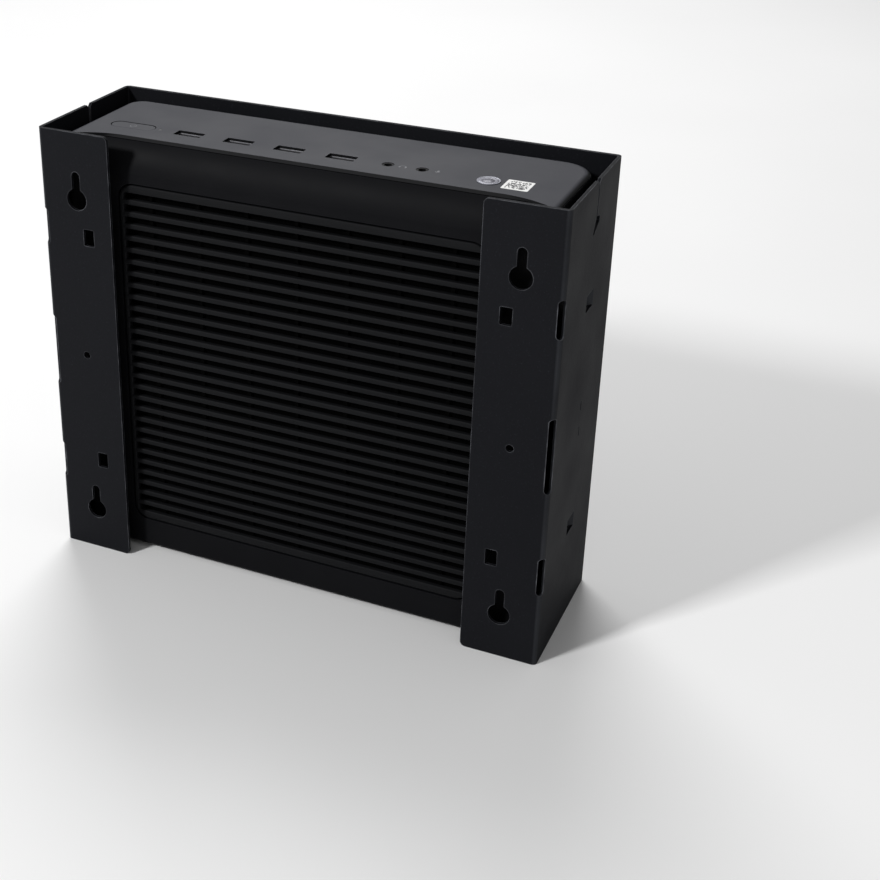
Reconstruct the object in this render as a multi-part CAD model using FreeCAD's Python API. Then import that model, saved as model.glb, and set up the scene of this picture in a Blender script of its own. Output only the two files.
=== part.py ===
"""Mini desktop computer in a folded steel mounting sleeve.

The sleeve is a C-shaped channel of sheet steel. Its back plate carries the 75 mm and 100 mm hole
patterns of a monitor mount, and its two front flanges carry keyholes for wall screws. The computer
stands in it on two shelf tabs, with its port panel facing up (+Z), its ribbed air grille facing the
front (-Y) and its rear ports facing down. It slides up and out of the sleeve.

Frame: +X right, +Y towards the back plate, +Z up. The origin is at the middle of the sleeve's
footprint, on the surface that it stands on. Lengths are in millimetres. Each sub-part is one STEP
file in parts/.
"""

import FreeCAD
import Part
import math
import os

V = FreeCAD.Vector
X, Y, Z = V(1, 0, 0), V(0, 1, 0), V(0, 0, 1)

# ---------------------------------------------------------------- driving dimensions
SLEEVE_W = 255.0
SLEEVE_D = 79.0
SLEEVE_H = 223.0
SHEET = 1.5
BEND_R = 2.4
FLANGE_W = 37.2

PC_W = 239.0
PC_BOTTOM = 1.8
PC_TOP = 218.8
FACE_GAP = 9.0
PC_D = 64.5
WALL = 2.2
GAP = 0.3

CORNER_FRONT_R = 5.0
CORNER_BACK_LEFT_R = 9.0
CORNER_BACK_RIGHT_R = 16.0
TOP_ROUND_R = 3.4
LOW_ROUND_R = 3.0

SCOOP_DEPTH = 9.6
SCOOP_BASE_Z = 198.3
SCOOP_FLAT_HALF = 92.0

GRILLE_TOP = 198.8
GRILLE_PITCH = 6.02
GRILLE_SLOTS = 29
GRILLE_HALF_W = 91.0
GRILLE_R = 8.0
GRILLE_LINE = 0.9
GRILLE_T = 2.2
WEB_T = 1.0
LEDGE_T = 1.4
SCREEN_T = 0.6
SLOT_H = 3.3
SLOT_HALF = 88.4

BEZEL_T = 1.2
PORT_Y_FROM_FRONT = 33.0
USB_PITCH = 25.9
USB_FIRST_X = -65.8
JACK_X = (34.4, 50.6)
BUTTON_X = -96.0
LED_X = -81.4
BADGE_X = 81.8
BADGE_R = 5.3
BADGE_T = 0.4
LABEL_X = 95.0
LABEL_HALF = 6.0
LABEL_T = 0.15

BOARD_W = 170.0
BOARD_T = 1.6
BOARD_X0 = -95.0
BOARD_Z0 = 11.0
STANDOFF_H = 5.0

REAR_PLATE_Z = 8.0
REAR_PLATE_T = 1.2

FAN_SIZE = 80.0
FAN_T = 15.0
COOLER_X = -26.0
COOLER_Z = 84.0
AXLE_R = 1.5
RUNNING = 0.06

FAR = 200.0

# ---------------------------------------------------------------- derived planes
FRONT = -SLEEVE_D / 2
BACK = SLEEVE_D / 2
FACE_Y = FRONT + FACE_GAP
BASE_Y = FACE_Y + PC_D
PC_HALF = PC_W / 2
FLANGE_EDGE = SLEEVE_W / 2 - FLANGE_W
BEZEL_Z = PC_TOP - BEZEL_T
SHELL_TOP = BEZEL_Z - GAP
PORT_Y = FRONT + PORT_Y_FROM_FRONT
GRILLE_BOTTOM = GRILLE_TOP - GRILLE_PITCH * (GRILLE_SLOTS + 1)
PARTING_Y = 8.0
BOARD_TOP = BASE_Y - WALL - STANDOFF_H - BOARD_T
BOARD_X1 = BOARD_X0 + BOARD_W
BOARD_Z1 = BOARD_Z0 + BOARD_W
SLEEVE_MID_Z = SLEEVE_H / 2
PLATE_IN = BACK - SHEET


# ---------------------------------------------------------------- small helpers
def box(x0, x1, y0, y1, z0, z1):
    """A block between two corners."""
    return Part.makeBox(x1 - x0, y1 - y0, z1 - z0, V(x0, y0, z0))


def rod(r, start, direction, length):
    """A cylinder from a point along a direction."""
    return Part.makeCylinder(r, length, start, direction)


def tube(r_out, r_in, start, direction, length):
    """A ring with a bore."""
    return rod(r_out, start, direction, length).cut(rod(r_in, start, direction, length))


def fuse(shapes):
    """One solid from touching shapes."""
    first, rest = shapes[0], shapes[1:]
    joined = first.multiFuse(rest) if rest else first
    return joined.removeSplitter()


def cut(shape, tools):
    """The shape less every tool."""
    return shape.cut(tools) if tools else shape


def prism(points, direction):
    """A polygon of (x, y, z) points extruded along a vector."""
    wire = Part.makePolygon([V(*p) for p in points] + [V(*points[0])])
    return Part.Face(wire).extrude(direction)


def rounded_outline(corners, radii):
    """A closed wire in the plane of its corners, each corner rounded by its own radius."""
    edges, ends = [], []
    count = len(corners)
    for i, corner in enumerate(corners):
        before = (corners[i - 1] - corner).normalize()
        after = (corners[(i + 1) % count] - corner).normalize()
        r = radii[i]
        middle = corner + (before + after).normalize() * (r * (math.sqrt(2) - 1))
        start, end = corner + before * r, corner + after * r
        if r > 0:
            edges.append(Part.Arc(start, middle, end).toShape())
        ends.append((start, end))
    for i in range(count):
        start, end = ends[i][1], ends[(i + 1) % count][0]
        if (end - start).Length > 1e-6:
            edges.append(Part.makeLine(start, end))
    return Part.Wire(Part.__sortEdges__(edges))


def slab_z(x0, x1, y0, y1, z0, z1, radii):
    """A block with rounded vertical edges; radii run anticlockwise from the front left."""
    corners = [V(x0, y0, z0), V(x1, y0, z0), V(x1, y1, z0), V(x0, y1, z0)]
    return Part.Face(rounded_outline(corners, radii)).extrude(Z * (z1 - z0))


def slab_y(x0, x1, y0, y1, z0, z1, r):
    """A block with its four edges along Y rounded."""
    corners = [V(x0, y0, z0), V(x1, y0, z0), V(x1, y0, z1), V(x0, y0, z1)]
    return Part.Face(rounded_outline(corners, [r] * 4)).extrude(Y * (y1 - y0))


def pill_z(x, y, z0, z1, length, width):
    """A pill-shaped block, long along X, standing along Z."""
    r = width / 2
    straight = length / 2 - r
    ends = [rod(r, V(x + side * straight, y, z0), Z, z1 - z0) for side in (-1, 1)]
    return fuse([box(x - straight, x + straight, y - r, y + r, z0, z1)] + ends)


def slot_y(x, z, length, width, y0, y1, upright=False):
    """A stadium-shaped tool along Y, its long side along X or upright."""
    r = width / 2
    half = length / 2 - r
    step = Z if upright else X
    centre = V(x, y0, z)
    ends = [rod(r, centre + step * (side * half), Y, y1 - y0) for side in (-1, 1)]
    if upright:
        middle = box(x - r, x + r, y0, y1, z - half, z + half)
    else:
        middle = box(x - half, x + half, y0, y1, z - r, z + r)
    return fuse([middle] + ends)


def mirrored(shape):
    """The shape on the other side of the YZ plane."""
    return shape.mirror(V(0, 0, 0), X)


def both_sides(shape):
    """A shape and its mirror image."""
    return [shape, mirrored(shape)]


def group(shapes):
    """Several separate solids in one node."""
    return Part.makeCompound(shapes)


# ---------------------------------------------------------------- mounting sleeve
KEYHOLE_X = 108.2
KEYHOLE_Z = (22.7, 190.4)
KEYHOLE_R = 5.3
KEYHOLE_NECK = 4.4
KEYHOLE_RISE = 13.6
FLANGE_HOLE_R = 1.85
FLANGE_HOLE_Z = 110.0
VESA_HOLE_R = 2.3
VESA_SPACINGS = (75.0, 100.0)
WINDOW_X = (100.0, 105.6)
WINDOW_Z = ((48.2, 56.4), (167.9, 176.2))
LANCE_Z = (53.2, 167.2)
LANCE_Y = (-2.8, 8.0)
LANCE_H = 8.0
BEND_SLOTS = ((38.0, 57.5), (91.0, 128.0), (165.5, 183.5))
SHELF_X = 62.0
SHELF_W = 32.0
SHELF_L = 10.0


def sleeve_channel():
    """The C-shaped channel with its bends, before any hole is punched."""
    half = SLEEVE_W / 2
    inner_r = BEND_R - SHEET
    outer = slab_z(-half, half, FRONT, BACK, 0, SLEEVE_H, [BEND_R] * 4)
    inner = slab_z(
        -half + SHEET, half - SHEET, FRONT + SHEET, BACK - SHEET, -1, SLEEVE_H + 1, [inner_r] * 4
    )
    mouth = slab_y(
        -FLANGE_EDGE, FLANGE_EDGE, FRONT - 1, FRONT + SHEET + 0.1, -10, SLEEVE_H + 10, 1.0
    )
    return outer.cut([inner, mouth])


def flange_corner_tools():
    """Tools that round the free corners of the two flanges."""
    r = 2.5
    tools = []
    for z, up in ((0, 1), (SLEEVE_H, -1)):
        low, high = sorted((z - up, z + up * r))
        square = box(FLANGE_EDGE - 1, FLANGE_EDGE + r, FRONT - 1, FRONT + SHEET + 0.5, low, high)
        disc = rod(r, V(FLANGE_EDGE + r, FRONT - 1, z + up * r), Y, SHEET + 2)
        tools += both_sides(square.cut(disc))
    return tools


def keyhole_tool(x, z):
    """A round hole for a screw head with a neck above it for the shank."""
    head = rod(KEYHOLE_R, V(x, FRONT - 1, z), Y, SHEET + 2)
    r = KEYHOLE_NECK / 2
    neck = box(x - r, x + r, FRONT - 1, FRONT + SHEET + 1, z, z + KEYHOLE_RISE - r)
    top = rod(r, V(x, FRONT - 1, z + KEYHOLE_RISE - r), Y, SHEET + 2)
    return fuse([head, neck, top])


def flange_tools():
    """Keyholes, round holes and spacer-tab windows of the flanges."""
    tools = []
    for z in KEYHOLE_Z:
        tools += both_sides(keyhole_tool(KEYHOLE_X, z))
    tools += both_sides(rod(FLANGE_HOLE_R, V(KEYHOLE_X, FRONT - 1, FLANGE_HOLE_Z), Y, SHEET + 2))
    for low, high in WINDOW_Z:
        window = slab_y(*WINDOW_X, FRONT - 1, FRONT + SHEET + 1, low, high, 0.6)
        tools += both_sides(window)
    return tools


def bend_slot_tools():
    """Stadium slots cut across the front bends."""
    width = 3.6
    tools = []
    inward = V(-1, 1, 0).normalize()
    along = V(1, 1, 0).normalize()
    corner = V(SLEEVE_W / 2, FRONT, 0) - inward * 3
    for low, high in BEND_SLOTS:
        r = width / 2
        points = [corner + along * s + Z * z for s, z in ((-r, low), (r, low), (r, high), (-r, high))]
        slot = Part.Face(rounded_outline(points, [r * 0.98] * 4)).extrude(inward * 7)
        tools += both_sides(slot)
    return tools


def side_tools():
    """Lance windows, entry slit and fine slits of the side walls."""
    x0, x1 = SLEEVE_W / 2 - SHEET - 1, SLEEVE_W / 2 + 1
    slit_y, slit_w, slit_z = 2.5, 1.4, 206.0
    fine_y, fine_z, fine_half = (2.6, 3.7), (102.0, 115.0), 2.4
    tools = []
    for z in LANCE_Z:
        tools += both_sides(box(x0, x1, *LANCE_Y, z - LANCE_H / 2, z + LANCE_H / 2))
    tools += both_sides(box(x0, x1, slit_y - slit_w / 2, slit_y + slit_w / 2, slit_z, SLEEVE_H + 1))
    for side in (-1, 1):
        lip = slit_y + side * (slit_w / 2 - 0.1)
        flare = [(x0, lip, SLEEVE_H - 1.6), (x0, lip + side * 1.7, SLEEVE_H + 0.1), (x0, lip, SLEEVE_H + 0.1)]
        tools += both_sides(prism(flare, X * (x1 - x0)))
    slash = [(x0, -2.6, 198.6), (x0, 0.2, 198.9), (x0, 7.4, 203.2), (x0, 7.4, 205.4), (x0, 1.8, 207.0)]
    tools += both_sides(prism(slash, X * (x1 - x0)))
    for z in fine_z:
        tools += both_sides(box(x0, x1, *fine_y, z - fine_half, z + fine_half))
    return tools


def back_tools():
    """Monitor-mount holes and air slots of the back plate."""
    y0, y1 = PLATE_IN - 1, BACK + 1
    tools = []
    for spacing in VESA_SPACINGS:
        for sx in (-1, 1):
            for sz in (-1, 1):
                centre = V(sx * spacing / 2, y0, SLEEVE_MID_Z + sz * spacing / 2)
                tools.append(rod(VESA_HOLE_R, centre, Y, y1 - y0))
    for row in range(3):
        rise = 24 + 11 * row
        for z in (rise, SLEEVE_H - rise):
            tools += both_sides(slot_y(42, z, 62, 5, y0, y1))
    return tools


def lanced_side_tab(z):
    """A tab of the right wall, hinged at its rear edge and bent in until it almost meets the computer."""
    wall = SLEEVE_W / 2
    reach = PC_HALF + GAP
    y_free, y_root = LANCE_Y[0] + 1.6, LANCE_Y[1]
    low = z - LANCE_H / 2 + 0.4
    points = [
        (wall, y_root, low),
        (wall - SHEET, y_root, low),
        (reach, y_free + 0.9, low),
        (reach + 1.3, y_free, low),
    ]
    return prism(points, Z * (LANCE_H - 0.8))


def flange_spacer_tab(low, high):
    """A tab of the right flange, bent straight in from its window's inner edge to the computer's face."""
    x0 = WINDOW_X[0] - SHEET
    return box(x0, x0 + SHEET, FRONT + SHEET - 0.2, FACE_Y - GAP, low + 0.3, high - 0.3)


def shelf_tab():
    """A tab of the back plate's lower edge, bent forward under the computer."""
    y0 = PLATE_IN - SHELF_L
    x0, x1 = SHELF_X - SHELF_W / 2, SHELF_X + SHELF_W / 2
    return slab_z(x0, x1, y0, PLATE_IN + 0.2, 0, SHEET, [3.0, 3.0, 0, 0])


def mounting_sleeve():
    """The whole folded sleeve, one piece of sheet."""
    channel = cut(
        sleeve_channel(),
        flange_corner_tools() + flange_tools() + bend_slot_tools() + side_tools() + back_tools(),
    )
    tabs = []
    for z in LANCE_Z:
        tabs += both_sides(lanced_side_tab(z))
    for low, high in WINDOW_Z:
        tabs += both_sides(flange_spacer_tab(low, high))
    tabs += both_sides(shelf_tab())
    return fuse([channel] + tabs)


# ---------------------------------------------------------------- computer shell
def plan_block(inset, z0, z1):
    """The computer's plan outline, inset on every side, as a block."""
    radii = [CORNER_FRONT_R, CORNER_FRONT_R, CORNER_BACK_RIGHT_R, CORNER_BACK_LEFT_R]
    return slab_z(
        -PC_HALF + inset, PC_HALF - inset, FACE_Y + inset, BASE_Y - inset, z0, z1,
        [max(r - inset, 0.5) for r in radii],
    )


def scoop_tool(inset):
    """What the hollowed front edge removes.

    It lies in front of a nose arc, seen from the side, and of a curve that runs out at both ends,
    seen from above. A larger inset gives the inner face of the wall.
    """
    depth = SCOOP_DEPTH
    rise = PC_TOP - SCOOP_BASE_Z
    nose_r = (rise**2 + depth**2) / (2 * depth)
    centre_y = FACE_Y + nose_r
    r = nose_r - inset
    ahead, above, left_x = FACE_Y - 8, PC_TOP + 6, -PC_HALF - 10
    half_turn = math.asin(rise / nose_r)
    base = V(left_x, centre_y - r, SCOOP_BASE_Z)
    middle = V(left_x, centre_y - r * math.cos(half_turn / 2), SCOOP_BASE_Z + r * math.sin(half_turn / 2))
    top = V(left_x, centre_y - r * math.cos(half_turn), SCOOP_BASE_Z + r * math.sin(half_turn))
    out = top + V(0, math.sin(half_turn), math.cos(half_turn)) * 12
    nose = Part.Wire(
        [
            Part.Arc(base, middle, top).toShape(),
            Part.makeLine(top, out),
            Part.makeLine(out, V(left_x, ahead, out.z)),
            Part.makeLine(V(left_x, ahead, out.z), V(left_x, ahead, SCOOP_BASE_Z)),
            Part.makeLine(V(left_x, ahead, SCOOP_BASE_Z), base),
        ]
    )
    nose_solid = Part.Face(nose).extrude(X * (-2 * left_x))
    edge_y = FACE_Y + depth + inset
    reach = PC_HALF - SCOOP_FLAT_HALF
    end_r = (reach**2 + depth**2) / (2 * depth) - inset
    turn = math.asin(min(reach / (end_r + inset), 0.99))
    curve = []
    for side in (-1, 1):
        cx, cy = side * SCOOP_FLAT_HALF, edge_y - end_r
        points = [
            V(cx + side * end_r * math.sin(a), cy + end_r * math.cos(a), SCOOP_BASE_Z - 1)
            for a in (0, turn / 2, turn)
        ]
        curve.append(points)
    left, right = curve
    plan = Part.Wire(
        [
            Part.Arc(left[2], left[1], left[0]).toShape(),
            Part.makeLine(left[0], right[0]),
            Part.Arc(right[0], right[1], right[2]).toShape(),
            Part.makeLine(right[2], V(right[2].x, ahead, right[2].z)),
            Part.makeLine(V(right[2].x, ahead, right[2].z), V(left[2].x, ahead, left[2].z)),
            Part.makeLine(V(left[2].x, ahead, left[2].z), left[2]),
        ]
    )
    plan_solid = Part.Face(plan).extrude(Z * (above - SCOOP_BASE_Z + 1))
    return nose_solid.common(plan_solid)


def level_edges(shape, z, inside_y):
    """The edges that lie in the plane z and behind inside_y."""
    found = []
    for edge in shape.Edges:
        bounds = edge.BoundBox
        if abs(bounds.ZMin - z) < 0.01 and abs(bounds.ZMax - z) < 0.01 and bounds.YMax > inside_y:
            found.append(edge)
    return found


def outer_body():
    """The computer's whole outer form."""
    body = plan_block(0, PC_BOTTOM, PC_TOP).cut(scoop_tool(0))
    body = body.makeFillet(TOP_ROUND_R, level_edges(body, PC_TOP, PORT_Y))
    return body.makeFillet(LOW_ROUND_R, level_edges(body, PC_BOTTOM, FACE_Y - 1))


def inner_body():
    """The space inside the shells, with the narrower recess at the rear ports."""
    main = plan_block(WALL, REAR_PLATE_Z, SHELL_TOP + 5).cut(scoop_tool(WALL))
    recess = slab_z(
        -PC_HALF + 6, PC_HALF - 6, FACE_Y + 6.5, BASE_Y - 4, PC_BOTTOM - 1, REAR_PLATE_Z + 1, [4.0] * 4
    )
    return main.fuse(recess)


def shells():
    """Both half shells in one, below the bezel."""
    below = box(-FAR, FAR, -FAR, FAR, -FAR, SHELL_TOP)
    return outer_body().cut(inner_body()).common(below)


CASE_SCREW_X = 108.0
CASE_SCREW_Z = (22.0, 192.0)


def cover_bosses():
    """Screw bosses that run from the cover to the base, each with a pilot hole."""
    start_y = FACE_Y + WALL - 0.1
    bosses = []
    for z in CASE_SCREW_Z:
        bosses += both_sides(tube(3.6, 1.2, V(CASE_SCREW_X, start_y, z), Y, PARTING_Y + 11.9 - start_y))
    return bosses


THUMB_X, THUMB_Y = 98.0, -18.0
THUMB_R = 1.55


def top_cover(shell):
    """The front half shell, with the opening and ledge for the grille."""
    half = shell.common(box(-FAR, FAR, -FAR, PARTING_Y - GAP / 2, -FAR, 2 * FAR))
    opening = slab_y(
        -GRILLE_HALF_W - GRILLE_LINE / 2, GRILLE_HALF_W + GRILLE_LINE / 2, FACE_Y - 1, FACE_Y + 20,
        GRILLE_BOTTOM - GRILLE_LINE / 2, GRILLE_TOP + GRILLE_LINE / 2, GRILLE_R,
    )
    ledge_out = slab_y(
        -GRILLE_HALF_W - 3, GRILLE_HALF_W + 3, FACE_Y + WALL - 0.1, FACE_Y + GRILLE_T + LEDGE_T,
        GRILLE_BOTTOM - 3, GRILLE_TOP + 2.6, GRILLE_R + 2,
    )
    ledge_in = slab_y(
        -GRILLE_HALF_W + 2, GRILLE_HALF_W - 2, FACE_Y, FACE_Y + 8,
        GRILLE_BOTTOM + 2, GRILLE_TOP - 2, GRILLE_R - 2,
    )
    seat = opening.common(box(-FAR, FAR, -FAR, FACE_Y + GRILLE_T + 0.02, 0, 2 * FAR))
    ledge = ledge_out.cut([ledge_in, seat])
    half = half.cut(opening)
    boss = tube(4.0, THUMB_R + RUNNING, V(THUMB_X, THUMB_Y, REAR_PLATE_Z + REAR_PLATE_T), Z, 8)
    boss_z = REAR_PLATE_Z + REAR_PLATE_T
    rib = box(THUMB_X - 1, THUMB_X + 1, FACE_Y + WALL - 0.1, THUMB_Y - 3.6, boss_z, boss_z + 7.8)
    return fuse([half, ledge, boss, rib] + cover_bosses())


def base_shell(shell):
    """The rear half shell, with screw recesses and air slots."""
    half = shell.common(box(-FAR, FAR, PARTING_Y + GAP / 2, FAR, -FAR, 2 * FAR))
    posts = []
    tools = []
    for sx in (-1, 1):
        for z in CASE_SCREW_Z:
            x = sx * CASE_SCREW_X
            posts.append(rod(4.6, V(x, PARTING_Y + 12.2, z), Y, BASE_Y - WALL - PARTING_Y - 12))
            tools.append(rod(1.7, V(x, 0, z), Y, 60))
            tools.append(rod(3.2, V(x, BASE_Y - 3.4, z), Y, 10))
    for row in range(7):
        for side in (-1, 1):
            tools.append(slot_y(side * 34, 78 + 9 * row, 52, 2.6, BASE_Y - WALL - 1, BASE_Y + 1))
    return fuse([half] + posts).cut(tools)


def vent_grille():
    """The ribbed insert: full-width slots between ribs, which webs tie together from behind."""
    plate = slab_y(
        -GRILLE_HALF_W + GRILLE_LINE / 2, GRILLE_HALF_W - GRILLE_LINE / 2, FACE_Y, FACE_Y + GRILLE_T,
        GRILLE_BOTTOM + GRILLE_LINE / 2, GRILLE_TOP - GRILLE_LINE / 2, GRILLE_R - GRILLE_LINE,
    )
    slots = []
    for k in range(1, GRILLE_SLOTS + 1):
        low = GRILLE_TOP - GRILLE_PITCH * k - SLOT_H / 2
        slots.append(box(-SLOT_HALF, SLOT_HALF, FACE_Y - 1, FACE_Y + GRILLE_T + 1, low, low + SLOT_H))
    ribs = plate.cut(slots)
    back_y = FACE_Y + GRILLE_T
    low, high = GRILLE_BOTTOM + 2.5, GRILLE_TOP - 2.5
    webs = []
    for x in range(-75, 76, 25):
        webs.append(box(x - 0.9, x + 0.9, back_y - 0.2, back_y + WEB_T, low, high))
    return fuse([ribs] + webs)


def dust_screen():
    """The thin filter sheet on the back of the cover's ledge, behind the grille."""
    y0 = FACE_Y + GRILLE_T + LEDGE_T
    return slab_y(-GRILLE_HALF_W, GRILLE_HALF_W, y0, y0 + SCREEN_T, GRILLE_BOTTOM, GRILLE_TOP, GRILLE_R)


# ---------------------------------------------------------------- front panel
USB_X = [USB_FIRST_X + USB_PITCH * i for i in range(4)]
USB_HALF_W, USB_HALF_H = 6.55, 2.85
USB_WALL = 0.35
USB_DEPTH = 14.0
USB_CLEAR = 0.4
USB_MOUTH_Z = PC_TOP - 1.0
BUTTON_L, BUTTON_W = 23.0, 8.0
BUTTON_TRAVEL = 1.0
JACK_NOSE_R = 2.7
JACK_FLOOR_Z = 205.0
AUDIO_BORE_R = 1.8
LED_R = 0.9


def front_bezel():
    """The port panel with its openings and its snap tabs."""
    plate = outer_body().common(box(-FAR, FAR, -FAR, FAR, BEZEL_Z, PC_TOP + 1))
    low, high = BEZEL_Z - 1, PC_TOP + 1
    half_w, half_h = USB_HALF_W + USB_CLEAR, USB_HALF_H + USB_CLEAR
    tools = []
    for x in USB_X:
        tools.append(slab_z(x - half_w, x + half_w, PORT_Y - half_h, PORT_Y + half_h, low, high, [0.6] * 4))
    tools += [rod(JACK_NOSE_R + 0.15, V(x, PORT_Y, low), Z, 4) for x in JACK_X]
    tools.append(pill_z(BUTTON_X, PORT_Y, low, high, BUTTON_L + 2 * GAP, BUTTON_W + 2 * GAP))
    tools.append(rod(LED_R, V(LED_X, PORT_Y, low), Z, 4))
    inner_y, inner_x = BASE_Y - WALL, PC_HALF - WALL
    tab_z = (BEZEL_Z - 7, BEZEL_Z + 0.3)
    tabs = [box(x - 6, x + 6, inner_y - 2.0, inner_y - 0.3, *tab_z) for x in (-80, 0, 80)]
    tabs += both_sides(box(inner_x - 2.0, inner_x - 0.3, -4, 8, *tab_z))
    return fuse([plate.cut(tools)] + tabs)


def power_button():
    """A pill-shaped cap with a retaining rim and a stem that reaches the switch."""
    cap = pill_z(BUTTON_X, PORT_Y, BEZEL_Z - GAP - 1.0, PC_TOP - 0.1, BUTTON_L, BUTTON_W)
    cap = cap.makeFillet(0.35, level_edges(cap, PC_TOP - 0.1, FRONT))
    rim = pill_z(BUTTON_X, PORT_Y, BEZEL_Z - GAP - 1.0, BEZEL_Z - GAP, BUTTON_L + 3, BUTTON_W + 3)
    stem_z = SWITCH_TOP + BUTTON_TRAVEL + 0.3
    stem = rod(1.6, V(BUTTON_X, PORT_Y, stem_z), Z, BEZEL_Z - GAP - 0.5 - stem_z)
    return fuse([cap, rim, stem])


SWITCH_TOP = 211.4
FRONT_BOARD_Y = PORT_Y + 2.85
FRONT_BOARD_Z = (192.0, 213.5)


def power_switch():
    """The push switch under the button: a square can with a round plunger."""
    can = box(BUTTON_X - 3, BUTTON_X + 3, PORT_Y - 3, FRONT_BOARD_Y, SWITCH_TOP - 4.6, SWITCH_TOP - 0.8)
    plunger = rod(1.2, V(BUTTON_X, PORT_Y, SWITCH_TOP - 0.9), Z, 0.9)
    return fuse([can, plunger])


def front_board():
    """The small board that carries the front ports."""
    return box(-103, 62, FRONT_BOARD_Y, FRONT_BOARD_Y + 1.2, *FRONT_BOARD_Z)


def usb_shell(x, y, z_mouth, depth_dir):
    """The sheet-metal shell of one port, open at its mouth."""
    z_back = z_mouth + depth_dir * USB_DEPTH
    low, high = min(z_mouth, z_back), max(z_mouth, z_back)
    half_w, half_h = USB_HALF_W, USB_HALF_H
    outer = slab_z(x - half_w, x + half_w, y - half_h, y + half_h, low, high, [0.5] * 4)
    bore_low = low - 1 if depth_dir > 0 else low + USB_WALL
    bore_high = high - USB_WALL if depth_dir > 0 else high + 1
    half_w, half_h = half_w - USB_WALL, half_h - USB_WALL
    bore = slab_z(x - half_w, x + half_w, y - half_h, y + half_h, bore_low, bore_high, [0.3] * 4)
    return outer.cut(bore)


def usb_tongue(x, y, z_mouth, depth_dir):
    """The plastic tongue and block inside a port shell."""
    root = z_mouth + depth_dir * (USB_DEPTH - USB_WALL)
    block_end = z_mouth + depth_dir * (USB_DEPTH - 3.0)
    tip = z_mouth + depth_dir * 1.6
    half_w, half_h = USB_HALF_W - 0.5, USB_HALF_H - 0.5
    block = box(x - half_w, x + half_w, y - half_h, y + half_h, min(root, block_end), max(root, block_end))
    tongue = box(x - 5.3, x + 5.3, y + 0.1, y + 2.0, min(tip, block_end), max(tip, block_end))
    return fuse([block, tongue])


def audio_jack(x):
    """A headphone socket: a block with a round nose and a 3.5 mm bore."""
    nose_top = PC_TOP - 0.2
    body = box(x - 3.4, x + 3.4, PORT_Y - 3.0, FRONT_BOARD_Y, JACK_FLOOR_Z - 1, BEZEL_Z - 0.4)
    nose = rod(JACK_NOSE_R, V(x, PORT_Y, BEZEL_Z - 1), Z, nose_top - BEZEL_Z + 1)
    return fuse([body, nose]).cut(rod(AUDIO_BORE_R, V(x, PORT_Y, JACK_FLOOR_Z), Z, 20))


def badge_disc():
    """A plain round badge, slightly domed at its edge."""
    disc = rod(BADGE_R, V(BADGE_X, PORT_Y - 1.6, PC_TOP), Z, BADGE_T)
    return disc.makeFillet(0.25, level_edges(disc, PC_TOP + BADGE_T, FRONT))


def code_label():
    """A square paper label stuck to the panel."""
    x, y, half = LABEL_X, PORT_Y - 1.9, LABEL_HALF
    return slab_z(x - half, x + half, y - half, y + half, PC_TOP, PC_TOP + LABEL_T, [0.5] * 4)


# ---------------------------------------------------------------- main board and what is on it
BOARD_HOLES = [(x, z) for z in (BOARD_Z0 + 24, BOARD_Z1 - 6) for x in (BOARD_X0 + 6, BOARD_X1 - 6)]


def motherboard():
    """The main board with its four screw holes."""
    board = box(BOARD_X0, BOARD_X1, BOARD_TOP, BOARD_TOP + BOARD_T, BOARD_Z0, BOARD_Z1)
    return board.cut([rod(1.7, V(x, BOARD_TOP - 1, z), Y, 5) for x, z in BOARD_HOLES])


def board_standoffs():
    """Hexagonal spacers between the base and the board."""
    corner_r, y = 2.9, BOARD_TOP + BOARD_T
    turns = [math.radians(60 * k) for k in range(6)]
    spacers = []
    for x, z in BOARD_HOLES:
        corners = [(x + corner_r * math.cos(a), y, z + corner_r * math.sin(a)) for a in turns]
        spacers.append(prism(corners, Y * STANDOFF_H).cut(rod(1.25, V(x, BOARD_TOP, z), Y, 5.5)))
    return group(spacers)


def pan_screw(x, y, z, direction, head_r, head_h, shank_r, shank_l, recess_r):
    """A screw with a domed head at (x, y, z); the shank runs along direction."""
    at = V(x, y, z)
    head = rod(head_r, at - direction * head_h, direction, head_h)
    recess = [rod(recess_r, at - direction * (head_h + 1), direction, 1 + head_h * 0.5)]
    shank = rod(shank_r, at, direction, shank_l)
    return fuse([head.cut(recess), shank])


def board_screws():
    """Screws that hold the board on its spacers."""
    return group([pan_screw(x, BOARD_TOP, z, Y, 2.8, 1.6, 1.2, 5.2, 1.0) for x, z in BOARD_HOLES])


def case_screws():
    """Screws that hold the base to the cover's bosses."""
    seat = BASE_Y - 3.4
    screws = []
    for z in CASE_SCREW_Z:
        screws += both_sides(pan_screw(CASE_SCREW_X, seat, z, V(0, -1, 0), 2.9, 2.0, 1.15, 16.0, 1.1))
    return group(screws)


CHIP_HALF = 18.7
LID_HALF = 15.0
CHIP_SEAT_Y = BOARD_TOP - 1.0
CHIP_TOP_Y = CHIP_SEAT_Y - 1.2
LID_TOP_Y = BOARD_TOP - 4.6


def cpu_socket():
    """The socket frame round the processor."""
    c, z, well = COOLER_X, COOLER_Z, CHIP_HALF + 0.1
    outer = box(c - 23, c + 23, BOARD_TOP - 3.2, BOARD_TOP, z - 24, z + 24)
    return outer.cut(box(c - well, c + well, BOARD_TOP - 4, CHIP_SEAT_Y, z - well, z + well))


def processor():
    """Substrate and heat spreader of the processor."""
    c, z = COOLER_X, COOLER_Z
    substrate = box(c - CHIP_HALF, c + CHIP_HALF, CHIP_TOP_Y, CHIP_SEAT_Y, z - CHIP_HALF, z + CHIP_HALF)
    lid = box(c - LID_HALF, c + LID_HALF, LID_TOP_Y, CHIP_TOP_Y, z - LID_HALF, z + LID_HALF)
    return fuse([substrate, lid])


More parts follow.
